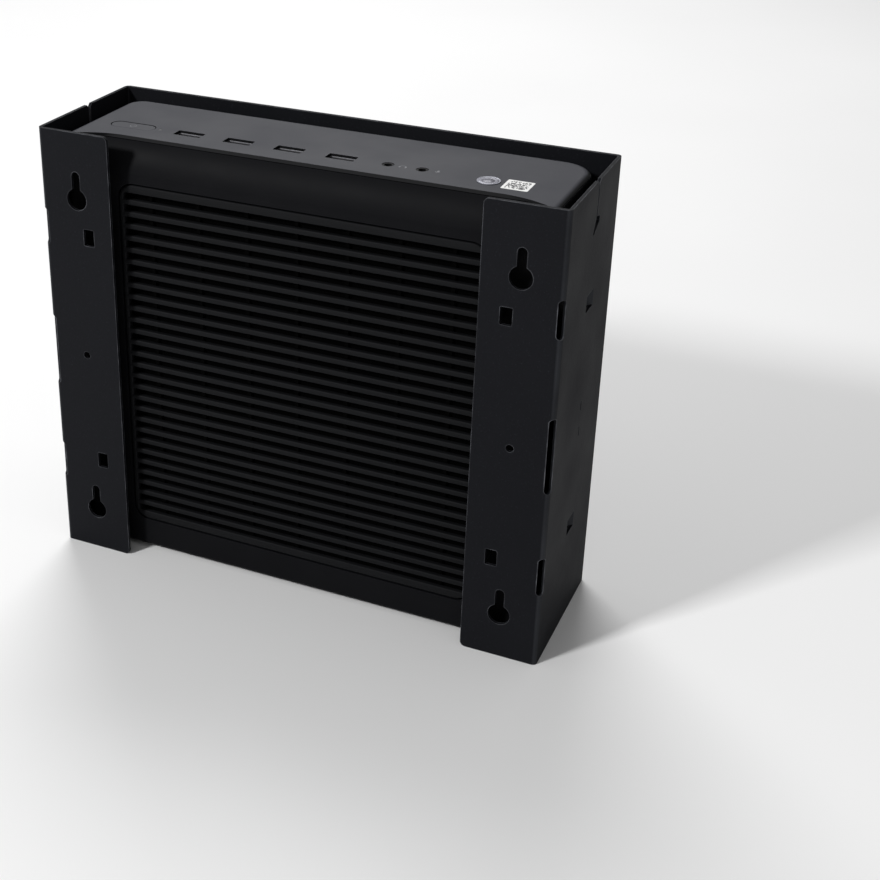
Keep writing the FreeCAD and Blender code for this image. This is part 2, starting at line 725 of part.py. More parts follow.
COOLER_HALF = 42.0
SINK_BASE_Y = LID_TOP_Y
SINK_PLATE_T = 4.0
SINK_TOP_Y = SINK_BASE_Y - 22.0
FIN_PITCH = 3.5
FIN_T = 1.0
FAN_HOLE = 35.75
FAN_POINTS = [(COOLER_X + sx * FAN_HOLE, COOLER_Z + sz * FAN_HOLE) for sx in (-1, 1) for sz in (-1, 1)]


def heat_sink():
    """The finned cooler on the processor, with a post for each fan screw."""
    c, z, h = COOLER_X, COOLER_Z, COOLER_HALF
    root_y = SINK_BASE_Y - SINK_PLATE_T
    plate = box(c - h, c + h, root_y, SINK_BASE_Y, z - h, z + h)
    fins = []
    for i in range(24):
        x = c - h + FIN_PITCH * i
        fins.append(box(x, x + FIN_T, SINK_TOP_Y, root_y + 0.1, z - h, z + h))
    posts = [rod(4.0, V(x, SINK_TOP_Y, pz), Y, root_y - SINK_TOP_Y) for x, pz in FAN_POINTS]
    pilots = [rod(1.2, V(x, SINK_TOP_Y - 1, pz), Y, 10) for x, pz in FAN_POINTS]
    return fuse([plate] + fins + posts).cut(pilots)


FAN_BACK_Y = SINK_TOP_Y
FAN_FRONT_Y = FAN_BACK_Y - FAN_T
FAN_BORE_R = 37.6
HUB_R = 16.0
SEAT_T = 2.0
BLADES = 9


def fan_frame():
    """The square fan housing with its motor seat on four struts and a fixed axle."""
    c, z, h = COOLER_X, COOLER_Z, FAN_SIZE / 2
    frame = slab_y(c - h, c + h, FAN_FRONT_Y, FAN_BACK_Y, z - h, z + h, 4.0)
    frame = frame.cut([rod(FAN_BORE_R, V(c, FAN_FRONT_Y - 1, z), Y, FAN_T + 2)])
    frame = frame.cut([rod(2.1, V(x, FAN_FRONT_Y - 1, pz), Y, FAN_T + 2) for x, pz in FAN_POINTS])
    seat_y = FAN_BACK_Y - SEAT_T
    seat = rod(HUB_R, V(c, seat_y, z), Y, SEAT_T)
    reach, half = FAN_BORE_R + 1.4, 1.8
    struts = [
        box(c - reach, c + reach, seat_y, FAN_BACK_Y, z - half, z + half),
        box(c - half, c + half, seat_y, FAN_BACK_Y, z - reach, z + reach),
    ]
    axle = rod(AXLE_R, V(c, FAN_BACK_Y - 11.0, z), Y, 10.0)
    return fuse([frame, seat, axle] + struts)


def blade_section(angle, radius, half_chord, pitch, thick):
    """The closed outline of a blade at one radius: a thin rectangle tilted by its pitch."""
    a, p = math.radians(angle), math.radians(pitch)
    out = V(math.cos(a), 0, math.sin(a))
    along = V(-math.sin(a), 0, math.cos(a))
    chord = along * math.cos(p) + Y * math.sin(p)
    normal = along * -math.sin(p) + Y * math.cos(p)
    centre = V(COOLER_X, FAN_FRONT_Y + 7.2, COOLER_Z) + out * radius
    corners = []
    for s, t in ((-1, -1), (1, -1), (1, 1), (-1, 1)):
        corners.append(centre + chord * (s * half_chord) + normal * (t * thick / 2))
    return Part.makePolygon(corners + corners[:1])


def fan_blade(angle):
    """One swept blade from the hub to just inside the bore."""
    root = blade_section(angle, HUB_R - 0.6, 7.4, 42.0, 1.6)
    tip = blade_section(angle + 14.0, FAN_BORE_R - 1.0, 11.5, 26.0, 1.2)
    return Part.makeLoft([root, tip], True, True)


def fan_rotor():
    """The hub cup and nine blades; the hub's bearing turns on the fixed axle."""
    c, z = COOLER_X, COOLER_Z
    hub_front = FAN_FRONT_Y + 0.8
    hub_back = FAN_BACK_Y - 2.6
    cup = rod(HUB_R, V(c, hub_front, z), Y, hub_back - hub_front)
    cup = cup.makeFillet(1.2, [e for e in cup.Edges if abs(e.BoundBox.YMax - hub_front) < 0.01])
    hollow = tube(HUB_R - 1.6, 3.4, V(c, hub_front + 1.6, z), Y, hub_back - hub_front)
    blades = [fan_blade(360 / BLADES * k) for k in range(BLADES)]
    limit = rod(FAN_BORE_R - 0.7, V(c, FAN_FRONT_Y + 0.4, z), Y, hub_back - FAN_FRONT_Y - 0.6)
    blades = [b.common(limit) for b in blades]
    bearing = rod(AXLE_R + RUNNING, V(c, FAN_BACK_Y - 11.3, z), Y, 12)
    return fuse([cup] + blades).cut([hollow, bearing])


def fan_screws():
    """Long screws through the fan's corners into the heat sink."""
    return group([pan_screw(x, FAN_FRONT_Y, z, Y, 3.2, 1.8, 1.15, FAN_T + 8, 1.2) for x, z in FAN_POINTS])


MEMORY_X = 23.0
MEMORY_Z = (40.0, 112.0)


def memory_sockets():
    """Edge sockets of the two memory modules, each with a pair of latch arms."""
    parts = []
    for z in MEMORY_Z:
        bar = box(MEMORY_X - 6, MEMORY_X + 1.5, BOARD_TOP - 5.2, BOARD_TOP, z - 1, z + 68.6)
        slot = box(MEMORY_X - 2.5, MEMORY_X + 3, BOARD_TOP - 4.2, BOARD_TOP - 2.9, z - 0.2, z + 67.8)
        arms = []
        for low in (z - 2.2, z + 68.0):
            arms.append(box(MEMORY_X + 1.4, MEMORY_X + 24, BOARD_TOP - 4.0, BOARD_TOP, low, low + 1.8))
        parts.append(fuse([bar.cut(slot)] + arms))
    return group(parts)


def memory_modules():
    """Two memory modules, each a card with four chips."""
    modules = []
    for z in MEMORY_Z:
        card = box(MEMORY_X - 2.4, MEMORY_X + 27.6, BOARD_TOP - 4.1, BOARD_TOP - 3.0, z, z + 67.6)
        chips = []
        for low in (z + 3, z + 19, z + 35, z + 51):
            chips.append(box(MEMORY_X + 7, MEMORY_X + 18, BOARD_TOP - 5.2, BOARD_TOP - 4.0, low, low + 12))
        modules.append(fuse([card] + chips))
    return group(modules)


SSD_X, SSD_Z = -90.0, 96.0
RADIO_X, RADIO_Z = -90.0, 58.0


def m2_card(x, z, length, chips):
    """A plug-in card in its edge socket's plane, with its chips."""
    y = BOARD_TOP - 3.4
    card = box(x, x + 22, y, y + 0.8, z, z + length)
    lumps = [box(x + 3, x + 19, y - 1.3, y + 0.1, z + low, z + high) for low, high in chips]
    return fuse([card] + lumps)


def m2_sockets():
    """Edge sockets of the two plug-in cards."""
    bars = []
    for x, z in ((SSD_X, SSD_Z), (RADIO_X, RADIO_Z)):
        bar = box(x, x + 22, BOARD_TOP - 4.2, BOARD_TOP, z - 5, z + 2.5)
        bars.append(bar.cut(box(x - 1, x + 23, BOARD_TOP - 3.5, BOARD_TOP - 2.5, z - 0.1, z + 4)))
    return group(bars)


COIN_X, COIN_Z = 63.2, 50.0
COIN_R = 10.0
COIN_T = 3.2
CUP_FLOOR_T = 1.2


def coin_cell():
    """The clock battery."""
    return rod(COIN_R, V(COIN_X, BOARD_TOP - CUP_FLOOR_T - COIN_T, COIN_Z), Y, COIN_T)


def coin_cell_holder():
    """The battery's round cradle."""
    cup = tube(COIN_R + 1.6, COIN_R + 0.1, V(COIN_X, BOARD_TOP - 3.6, COIN_Z), Y, 3.6)
    floor = rod(COIN_R + 0.4, V(COIN_X, BOARD_TOP - CUP_FLOOR_T, COIN_Z), Y, CUP_FLOOR_T)
    return fuse([cup, floor])


def power_chokes():
    """The row of chokes beside the processor."""
    return group([box(-68 + 11 * i, -60 + 11 * i, BOARD_TOP - 4.0, BOARD_TOP, 133, 141) for i in range(6)])


def capacitors():
    """Round capacitors between the chokes and the front edge."""
    return group([rod(2.6, V(-64 + 9 * i, BOARD_TOP - 6.0, 150), Y, 6.0) for i in range(8)])


def chipset_sink():
    """The small finned cooler on the chipset."""
    x, z = 64.0, 92.0
    plate = box(x - 8, x + 8, BOARD_TOP - 3.0, BOARD_TOP, z - 12, z + 12)
    fins = []
    for i in range(6):
        low = x - 8 + 3.0 * i
        fins.append(box(low, low + 1.0, BOARD_TOP - 9, BOARD_TOP - 2.9, z - 12, z + 12))
    return fuse([plate] + fins)


# ---------------------------------------------------------------- drive, speaker and antennas
DRIVE_Y = (-14.0, -7.0)
CADDY_Z = (126.0, 200.0)


def drive_caddy():
    """The tray that carries the drive over the board, on four legs from the base."""
    x0, x1 = -94.0, 22.0
    z0, z1 = CADDY_Z
    y = DRIVE_Y[1]
    tray = box(x0, x1, y + 0.05, y + 1.25, z0, z1)
    windows = [box(x, x + 24, y - 1, y + 3, z0 + 12, z1 - 12) for x in (x0 + 12, x0 + 46, x0 + 80)]
    lips = [box(x0, x1, DRIVE_Y[0] + 1, y + 0.2, z, z + 1.2) for z in (z0, z1 - 1.2)]
    legs = []
    for x in (x0 + 4, x1 - 10):
        legs.append(box(x, x + 6, y + 1.0, BASE_Y - WALL, z1 - 10, z1 - 8.8))
        legs.append(box(x, x + 6, BASE_Y - WALL - 1.2, BASE_Y - WALL, z1 - 10, z1 - 1))
    for x in (x0, 8.0):
        legs.append(box(x, x + 1.2, y + 1.0, BOARD_TOP, z0 + 2, z0 + 8))
    return fuse([tray.cut(windows)] + lips + legs)


def storage_drive():
    """A 2.5 inch drive, 7 mm thick."""
    x0, z0 = -83.0, CADDY_Z[0] + 2.1
    return slab_y(x0, x0 + 100.0, *DRIVE_Y, z0, z0 + 69.8, 2.0)


def speaker():
    """The small loudspeaker in its box."""
    x, z = 89.5, 148.0
    case = slab_y(x - 13, x + 13, 6, BASE_Y - WALL, z - 20, z + 20, 3.0)
    well = rod(11.0, V(x, 5, z), Y, 2.5)
    cone = Part.makeCone(9.5, 3.0, 3.0, V(x, 7.4, z), Y)
    surround = tube(11.0, 9.5, V(x, 7.0, z), Y, 0.8)
    return fuse([case.cut([well, cone]), surround])


def antennas():
    """Two flat antenna boards on the side walls."""
    inner = PC_HALF - WALL
    plate = box(inner - 0.8, inner - 0.02, -18, -8, 96, 142)
    return group(both_sides(plate))


# ---------------------------------------------------------------- rear ports
LAN_X = -22.0
REAR_USB_X = (-48.0, -66.0)
HDMI_X, DP_X, DC_X = 6.0, 28.0, 50.0
LOCK_X, LOCK_Y = -100.0, -10.0
LOCK_HALF_W, LOCK_HALF_H = 3.5, 1.5
PORT_FLOOR = BOARD_TOP
REAR_USB_Y = (PORT_FLOOR - 3.4, PORT_FLOOR - 12.0)
MOUTH_Z = REAR_PLATE_Z - 0.4


def lock_opening(low, high):
    """The opening that a security lock turns in."""
    half_w, half_h = LOCK_HALF_W, LOCK_HALF_H
    return box(LOCK_X - half_w, LOCK_X + half_w, LOCK_Y - half_h, LOCK_Y + half_h, low, high)


def rear_plate():
    """The steel plate behind the rear ports, with a cut-out for each and the cover screw's hole."""
    plate = plan_block(WALL + 0.15, REAR_PLATE_Z, REAR_PLATE_Z + REAR_PLATE_T)
    low, high = REAR_PLATE_Z - 1, REAR_PLATE_Z + REAR_PLATE_T + 1
    tools = [box(LAN_X - 8.2, LAN_X + 8.2, PORT_FLOOR - 13.7, PORT_FLOOR + 0.2, low, high)]
    for x in REAR_USB_X:
        tools.append(box(x - 7.0, x + 7.0, PORT_FLOOR - 16.0, PORT_FLOOR + 0.2, low, high))
    tools.append(box(HDMI_X - 7.9, HDMI_X + 7.9, PORT_FLOOR - 6.4, PORT_FLOOR + 0.2, low, high))
    tools.append(box(DP_X - 8.4, DP_X + 8.4, PORT_FLOOR - 6.4, PORT_FLOOR + 0.2, low, high))
    tools.append(rod(4.6, V(DC_X, PORT_FLOOR - 5.5, low), Z, high - low))
    tools.append(rod(THUMB_R + RUNNING, V(THUMB_X, THUMB_Y, low), Z, high - low))
    tools.append(lock_opening(low, high))
    for i in range(16):
        x = 8.5 * i - 76
        tools.append(slab_z(x - 2, x + 2, -22, -4, low, high, [1.9] * 4))
    return plate.cut(tools)


def lan_jack():
    """The network socket: a block with a stepped opening."""
    body = box(LAN_X - 8.0, LAN_X + 8.0, PORT_FLOOR - 13.5, PORT_FLOOR, MOUTH_Z, MOUTH_Z + 21)
    mouth = box(LAN_X - 5.95, LAN_X + 5.95, PORT_FLOOR - 11.0, PORT_FLOOR - 3.2, MOUTH_Z - 1, MOUTH_Z + 14)
    latch = box(LAN_X - 3.2, LAN_X + 3.2, PORT_FLOOR - 12.6, PORT_FLOOR - 10.9, MOUTH_Z - 1, MOUTH_Z + 9)
    return body.cut([mouth, latch])


def rear_usb_positions():
    """The centre of each rear port."""
    return [(x, y) for x in REAR_USB_X for y in REAR_USB_Y]


def rear_usb_shells():
    """Shells of the stacked rear ports."""
    return group([usb_shell(x, y, MOUTH_Z, 1) for x, y in rear_usb_positions()])


def rear_usb_tongues():
    """Tongues of the stacked rear ports."""
    return group([usb_tongue(x, y, MOUTH_Z, 1) for x, y in rear_usb_positions()])


def rear_usb_frames():
    """Plastic frames that hold each pair of rear ports on the board."""
    frames = []
    for x in REAR_USB_X:
        block = box(x - 6.9, x + 6.9, PORT_FLOOR - 15.6, PORT_FLOOR, REAR_PLATE_Z + 1.6, MOUTH_Z + 17)
        half_w, half_h = USB_HALF_W + 0.01, USB_HALF_H + 0.01
        wells = []
        for y in REAR_USB_Y:
            wells.append(box(x - half_w, x + half_w, y - half_h, y + half_h, 0, MOUTH_Z + USB_DEPTH + 0.01))
        frames.append(block.cut(wells))
    return group(frames)


def hdmi_outline(x, y, half_w, half_h, chamfer, z):
    """The outline of a display connector: a rectangle with two cut corners."""
    return [
        (x - half_w, y + half_h, z),
        (x - half_w, y - half_h + chamfer, z),
        (x - half_w + chamfer, y - half_h, z),
        (x + half_w - chamfer, y - half_h, z),
        (x + half_w, y - half_h + chamfer, z),
        (x + half_w, y + half_h, z),
    ]


def video_ports():
    """Shell and tongue of both display connectors."""
    ports = []
    for x, half_w, chamfer in ((HDMI_X, 7.4, 1.6), (DP_X, 8.0, 0.8)):
        y = PORT_FLOOR - 3.1
        shell = prism(hdmi_outline(x, y, half_w, 2.9, chamfer, MOUTH_Z), Z * 12)
        well = prism(hdmi_outline(x, y, half_w - 0.4, 2.5, chamfer, MOUTH_Z - 1), Z * 12)
        tongue = box(x - half_w + 1.6, x + half_w - 1.6, y - 0.8, y + 0.8, MOUTH_Z + 1.5, MOUTH_Z + 11.5)
        ports.append(fuse([shell.cut(well), tongue]))
    return group(ports)


def dc_jack():
    """The barrel power socket with its centre pin."""
    y = PORT_FLOOR - 5.5
    body = box(DC_X - 5, DC_X + 5, y - 5.0, PORT_FLOOR, REAR_PLATE_Z + REAR_PLATE_T + 0.2, MOUTH_Z + 15)
    nose = rod(4.4, V(DC_X, y, MOUTH_Z), Z, 4)
    bore = rod(3.2, V(DC_X, y, MOUTH_Z - 1), Z, 11)
    pin = rod(0.9, V(DC_X, y, MOUTH_Z + 1), Z, 10)
    return fuse([fuse([body, nose]).cut(bore), pin])


def thumbscrew():
    """The knurled cover screw in the rear recess."""
    head_h = 4.6
    head = rod(4.6, V(THUMB_X, THUMB_Y, REAR_PLATE_Z - head_h - 0.1), Z, head_h)
    x, y, knurl_r = THUMB_X, THUMB_Y, 4.75
    cuts = []
    for k in range(20):
        a = math.radians(18 * k)
        cuts.append(rod(0.45, V(x + knurl_r * math.cos(a), y + knurl_r * math.sin(a), 0), Z, REAR_PLATE_Z))
    cuts.append(box(x - 3.6, x + 3.6, y - 0.5, y + 0.5, 0, REAR_PLATE_Z - head_h + 1.0))
    shank = rod(THUMB_R, V(THUMB_X, THUMB_Y, REAR_PLATE_Z - 0.2), Z, 9.0)
    return fuse([head.cut(cuts), shank])


def lock_slot():
    """The reinforced security-lock slot behind the rear plate."""
    z0 = REAR_PLATE_Z + REAR_PLATE_T
    body = box(LOCK_X - 7, LOCK_X + 7, LOCK_Y - 5, LOCK_Y + 5, z0, z0 + 6)
    return body.cut(lock_opening(z0 - 1, z0 + 4))


FOOT_H = PLATE_IN - BASE_Y - GAP
FOOT_R = 7.5
FOOT_X = 92.0
FOOT_Z = (40.0, 174.0)


def rubber_feet():
    """Four round feet on the base; they steady the computer against the back plate."""
    feet = []
    for sx in (-1, 1):
        for z in FOOT_Z:
            foot = rod(FOOT_R, V(sx * FOOT_X, BASE_Y, z), Y, FOOT_H)
            rim = [e for e in foot.Edges if abs(e.BoundBox.YMin - BASE_Y - FOOT_H) < 0.01]
            feet.append(foot.makeFillet(1.0, rim))
    return group(feet)


def led_lens():
    """The light guide of the power light."""
    rod_part = rod(LED_R - 0.02, V(LED_X, PORT_Y, BEZEL_Z), Z, BEZEL_T - 0.1)
    foot = rod(1.6, V(LED_X, PORT_Y, BEZEL_Z - 3.0), Z, 3.0)
    return fuse([rod_part, foot])


def front_usb_shells():
    """Shells of the four front ports."""
    return group([usb_shell(x, PORT_Y, USB_MOUTH_Z, -1) for x in USB_X])


def front_usb_tongues():
    """Tongues of the four front ports."""
    return group([usb_tongue(x, PORT_Y, USB_MOUTH_Z, -1) for x in USB_X])


def build_all():
    """Every sub-part by name."""
    shell = shells()
    return {
        "mounting_sleeve": mounting_sleeve(),
        "top_cover": top_cover(shell),
        "base_shell": base_shell(shell),
        "vent_grille": vent_grille(),
        "dust_screen": dust_screen(),
        "front_bezel": front_bezel(),
        "power_button": power_button(),
        "power_switch": power_switch(),
        "led_lens": led_lens(),
        "front_board": front_board(),
        "front_usb_shells": front_usb_shells(),
        "front_usb_tongues": front_usb_tongues(),
        "audio_jacks": group([audio_jack(x) for x in JACK_X]),
        "badge_disc": badge_disc(),
        "code_label": code_label(),
        "motherboard": motherboard(),
        "board_standoffs": board_standoffs(),
        "board_screws": board_screws(),
        "case_screws": case_screws(),
        "cpu_socket": cpu_socket(),
        "processor": processor(),
        "heat_sink": heat_sink(),
        "fan_frame": fan_frame(),
        "fan_rotor": fan_rotor(),
        "fan_screws": fan_screws(),
        "memory_sockets": memory_sockets(),
        "memory_modules": memory_modules(),
        "m2_sockets": m2_sockets(),
        "ssd_card": m2_card(SSD_X, SSD_Z, 80.0, ((8, 22), (28, 48), (52, 72))),
        "radio_card": m2_card(RADIO_X, RADIO_Z, 30.0, ((6, 26),)),
        "coin_cell": coin_cell(),
        "coin_cell_holder": coin_cell_holder(),
        "power_chokes": power_chokes(),
        "capacitors": capacitors(),
        "chipset_sink": chipset_sink(),
        "drive_caddy": drive_caddy(),
        "storage_drive": storage_drive(),
        "speaker": speaker(),
        "antennas": antennas(),
        "rear_plate": rear_plate(),
        "lan_jack": lan_jack(),
        "rear_usb_shells": rear_usb_shells(),
        "rear_usb_tongues": rear_usb_tongues(),
        "rear_usb_frames": rear_usb_frames(),
        "video_ports": video_ports(),
        "dc_jack": dc_jack(),
        "thumbscrew": thumbscrew(),
        "lock_slot": lock_slot(),
        "rubber_feet": rubber_feet(),
    }


os.makedirs("parts", exist_ok=True)
for name, shape in build_all().items():
    print(f"{name}: {len(shape.Solids)} solids, {shape.Volume / 1000:.2f} cm3, valid {shape.isValid()}")
    shape.exportStep(f"parts/{name}.step")
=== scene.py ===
"""Looks for the mini computer in its mounting sleeve: materials, fine pieces, lights and camera.

The CAD frame holds every structural part. This script gives each one its material and softened
edges, and models in full detail what the frame holds plainly: the ribbed grille, the port shells
with their springs and contacts, the printed signs, the label and the badge.
"""

import math
import random

import bmesh
import bpy
from mathutils import Matrix, Vector


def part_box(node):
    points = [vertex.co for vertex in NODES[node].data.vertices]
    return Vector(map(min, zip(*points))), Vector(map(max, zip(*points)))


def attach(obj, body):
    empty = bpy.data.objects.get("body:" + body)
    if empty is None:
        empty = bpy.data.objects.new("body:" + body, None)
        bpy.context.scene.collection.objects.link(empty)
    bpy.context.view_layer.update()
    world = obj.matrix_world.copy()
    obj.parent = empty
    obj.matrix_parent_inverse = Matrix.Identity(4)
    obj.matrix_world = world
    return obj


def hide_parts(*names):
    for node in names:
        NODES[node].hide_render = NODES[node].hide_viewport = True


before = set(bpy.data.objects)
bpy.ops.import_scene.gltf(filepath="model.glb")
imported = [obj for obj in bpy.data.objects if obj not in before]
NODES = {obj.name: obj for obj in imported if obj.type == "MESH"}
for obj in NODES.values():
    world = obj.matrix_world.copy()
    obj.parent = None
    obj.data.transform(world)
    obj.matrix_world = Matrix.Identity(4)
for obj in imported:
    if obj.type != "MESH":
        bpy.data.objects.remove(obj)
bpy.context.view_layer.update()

MM = 0.001
COMPUTER = "computer"


# ---------------------------------------------------------------- places, from the frame
SLEEVE_LOW, SLEEVE_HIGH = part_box("mounting_sleeve")
GRILLE_LOW, GRILLE_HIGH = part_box("vent_grille")
BUTTON_LOW, BUTTON_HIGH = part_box("power_button")
LABEL_LOW, LABEL_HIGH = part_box("code_label")
BADGE_LOW, BADGE_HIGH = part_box("badge_disc")
JACKS_LOW, JACKS_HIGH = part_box("audio_jacks")
PANEL_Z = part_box("front_bezel")[1].z
PORT_Y = (BUTTON_LOW.y + BUTTON_HIGH.y) / 2


# ---------------------------------------------------------------- node material helpers
def new_material(name, color, roughness, metallic=0.0, specular=0.5, coat=0.0):
    """A material with its shader's own sockets set; returns it with its shader node."""
    material = bpy.data.materials.new(name)
    material.use_nodes = True
    shader = material.node_tree.nodes["Principled BSDF"]
    shader.inputs["Base Color"].default_value = (*color, 1.0)
    shader.inputs["Roughness"].default_value = roughness
    shader.inputs["Metallic"].default_value = metallic
    shader.inputs["Specular IOR Level"].default_value = specular
    shader.inputs["Coat Weight"].default_value = coat
    return material, shader


def add_node(material, kind, **settings):
    """A new node with its properties set."""
    node = material.node_tree.nodes.new(kind)
    for key, value in settings.items():
        setattr(node, key, value)
    return node


def link(material, output, target):
    """Joins an output socket to an input socket."""
    material.node_tree.links.new(output, target)


def place(material, scale=(1, 1, 1)):
    """The object's own coordinates in metres, stretched along its axes."""
    coords = add_node(material, "ShaderNodeTexCoord")
    mapping = add_node(material, "ShaderNodeMapping")
    mapping.inputs["Scale"].default_value = scale
    link(material, coords.outputs["Object"], mapping.inputs["Vector"])
    return mapping.outputs["Vector"]


def noise(material, size_mm, detail=2.0, roughness=0.5, stretch=(1, 1, 1)):
    """Cloudy noise whose features are about size_mm across."""
    node = add_node(material, "ShaderNodeTexNoise")
    node.inputs["Scale"].default_value = 1000.0 / size_mm
    node.inputs["Detail"].default_value = detail
    node.inputs["Roughness"].default_value = roughness
    link(material, place(material, stretch), node.inputs["Vector"])
    return node.outputs["Fac"]


def ramp(material, value, stops):
    """A value turned into a colour or a mask by (position, colour) stops."""
    node = add_node(material, "ShaderNodeValToRGB")
    elements = node.color_ramp.elements
    while len(elements) < len(stops):
        elements.new(0.5)
    for element, (position, color) in zip(elements, stops):
        element.position = position
        element.color = (*color, 1.0) if len(color) == 3 else color
    link(material, value, node.inputs["Fac"])
    return node.outputs["Color"]


def grey(level):
    """A neutral colour."""
    return (level, level, level)


def blend(material, mask, low, high, mode="MIX"):
    """Two colours (values or sockets) mixed by a mask."""
    node = add_node(material, "ShaderNodeMix", data_type="RGBA", blend_type=mode)
    for socket, value in ((node.inputs[0], mask), (node.inputs[6], low), (node.inputs[7], high)):
        if isinstance(value, bpy.types.NodeSocket):
            link(material, value, socket)
        elif isinstance(value, (int, float)):
            socket.default_value = value
        else:
            socket.default_value = (*value, 1.0)
    return node.outputs[2]


def multiply(material, first, second):
    """The product of two masks."""
    node = add_node(material, "ShaderNodeMath", operation="MULTIPLY")
    for socket, value in zip(node.inputs, (first, second)):
        if isinstance(value, bpy.types.NodeSocket):
            link(material, value, socket)
        else:
            socket.default_value = value
    return node.outputs[0]


def bump(material, shader, heights):
    """Stacks bumps, each (height socket, depth in mm), on the shader's normal."""
    normal = None
    for height, depth in heights:
        node = add_node(material, "ShaderNodeBump")
        node.inputs["Distance"].default_value = depth * MM
        link(material, height, node.inputs["Height"])
        if normal is not None:
            link(material, normal, node.inputs["Normal"])
        normal = node.outputs["Normal"]
    link(material, normal, shader.inputs["Normal"])


def edge_mask(material, width_mm, low=0.02, high=0.22):
    """Where the surface turns sharply within width_mm: corners and edges that get rubbed."""
    soft = add_node(material, "ShaderNodeBevel", samples=6)
    soft.inputs["Radius"].default_value = width_mm * MM
    geometry = add_node(material, "ShaderNodeNewGeometry")
    dot = add_node(material, "ShaderNodeVectorMath", operation="DOT_PRODUCT")
    link(material, soft.outputs["Normal"], dot.inputs[0])
    link(material, geometry.outputs["Normal"], dot.inputs[1])
    turned = add_node(material, "ShaderNodeMapRange", clamp=True)
    turned.inputs["From Min"].default_value = 1.0 - low
    turned.inputs["From Max"].default_value = 1.0 - high
    link(material, dot.outputs["Value"], turned.inputs["Value"])
    return turned.outputs["Result"]


def normal_parts(material):
    """The x, y and z of the surface's normal."""
    geometry = add_node(material, "ShaderNodeNewGeometry")
    parts = add_node(material, "ShaderNodeSeparateXYZ")
    link(material, geometry.outputs["Normal"], parts.inputs[0])
    return parts.outputs


def facing_up(material, low, high):
    """A mask that is 1 where the surface looks up (its normal's z above high) and 0 below low."""
    level = add_node(material, "ShaderNodeMapRange", clamp=True)
    level.inputs["From Min"].default_value = low
    level.inputs["From Max"].default_value = high
    link(material, normal_parts(material)["Z"], level.inputs["Value"])
    return level.outputs["Result"]


def upright_bends(material):
    """A mask for the rounded upright bends: where the normal turns between the x and y directions."""
    parts = normal_parts(material)
    turn = add_node(material, "ShaderNodeMath", operation="ABSOLUTE")
    link(material, multiply(material, parts["X"], parts["Y"]), turn.inputs[0])
    return ramp(material, turn.outputs[0], [(0.10, grey(0.0)), (0.42, grey(1.0))])


def vary_roughness(material, shader, value, low, high):
    """Roughness that wanders between low and high with a noise value."""
    node = add_node(material, "ShaderNodeMapRange", clamp=True)
    node.inputs["From Min"].default_value = 0.3
    node.inputs["From Max"].default_value = 0.7
    node.inputs["To Min"].default_value = low
    node.inputs["To Max"].default_value = high
    link(material, value, node.inputs["Value"])
    link(material, node.outputs["Result"], shader.inputs["Roughness"])


# ---------------------------------------------------------------- materials
def powder_coat():
    """Textured charcoal powder coat: orange-peel grain, pale flecks, a painted highlight along the bends and
    rubbed edges.
    """
    material, shader = new_material("powder_coat", (0.006, 0.0065, 0.008), 0.65, specular=0.08)
    grain = noise(material, 0.9, detail=3.0, roughness=0.6)
    peel = noise(material, 3.2, detail=2.0)
    cloud = noise(material, 46.0, detail=3.0)
    body = ramp(material, cloud, [(0.3, (0.0056, 0.0060, 0.0078)), (0.7, (0.0074, 0.0078, 0.0098))])
    fleck = ramp(material, grain, [(0.6, grey(0.0)), (0.72, grey(0.45))])
    flecked = blend(material, fleck, body, (0.022, 0.024, 0.030))
    patchy = ramp(material, noise(material, 7.0, detail=4.0), [(0.42, grey(0.25)), (0.62, grey(0.85))])
    # Painted highlight: the rounded upright bends are lightened, in uneven patches, to stand in for the light
    # they catch
    bend_highlight_drift = ramp(material, noise(material, 30.0, detail=3.0), [(0.3, grey(0.45)), (0.7, grey(0.9))])
    bend_highlight_mask = multiply(material, upright_bends(material), bend_highlight_drift)
    with_bend_highlight = blend(material, bend_highlight_mask, flecked, (0.034, 0.036, 0.041))
    worn = multiply(material, edge_mask(material, 0.7), patchy)
    link(material, blend(material, worn, with_bend_highlight, (0.14, 0.145, 0.16)), shader.inputs["Base Color"])
    vary_roughness(material, shader, cloud, 0.58, 0.72)
    bump(material, shader, [(peel, 0.05), (grain, 0.06)])
    return material


def moulded_plastic(
    name, dark, light, rough, gloss=0.32, grain_mm=0.6, depth=0.02, edge=None, edge_mm=0.5, shaded_sides=None
):
    """Matte moulded plastic with a spark-eroded grain, soft colour drift and lightly rubbed, paler edges.

    With a colour for its shaded sides, only the faces that look up keep the body colour: the split paints a
    lit top and shaded sides on one plastic.
    """
    material, shader = new_material(name, dark, rough[0], specular=gloss)
    cloud = noise(material, 30.0, detail=3.0)
    grain = noise(material, grain_mm, detail=2.0, roughness=0.6)
    body = ramp(material, cloud, [(0.3, dark), (0.7, light)])
    if edge:
        body = blend(material, multiply(material, edge_mask(material, edge_mm), 0.6), body, edge)
    if shaded_sides:
        # Painted light and shade: faces that look up keep the lighter body colour, the sides take the darker
        # shaded colour
        body = blend(material, facing_up(material, 0.84, 0.95), shaded_sides, body)
    link(material, body, shader.inputs["Base Color"])
    vary_roughness(material, shader, cloud, *rough)
    bump(material, shader, [(noise(material, 9.0, detail=1.0), 0.03), (grain, depth)])
    return material


def metal(name, dark, light, rough, brush=(1, 1, 1), depth=0.006, size=0.7):
    """Bare or plated metal with a brushed or tumbled grain."""
    material, shader = new_material(name, dark, rough[0], metallic=1.0)
    cloud = noise(material, 12.0, detail=3.0)
    streak = noise(material, size, detail=3.0, stretch=brush)
    link(material, ramp(material, cloud, [(0.3, dark), (0.7, light)]), shader.inputs["Base Color"])
    vary_roughness(material, shader, streak, *rough)
    bump(material, shader, [(streak, depth)])
    return material


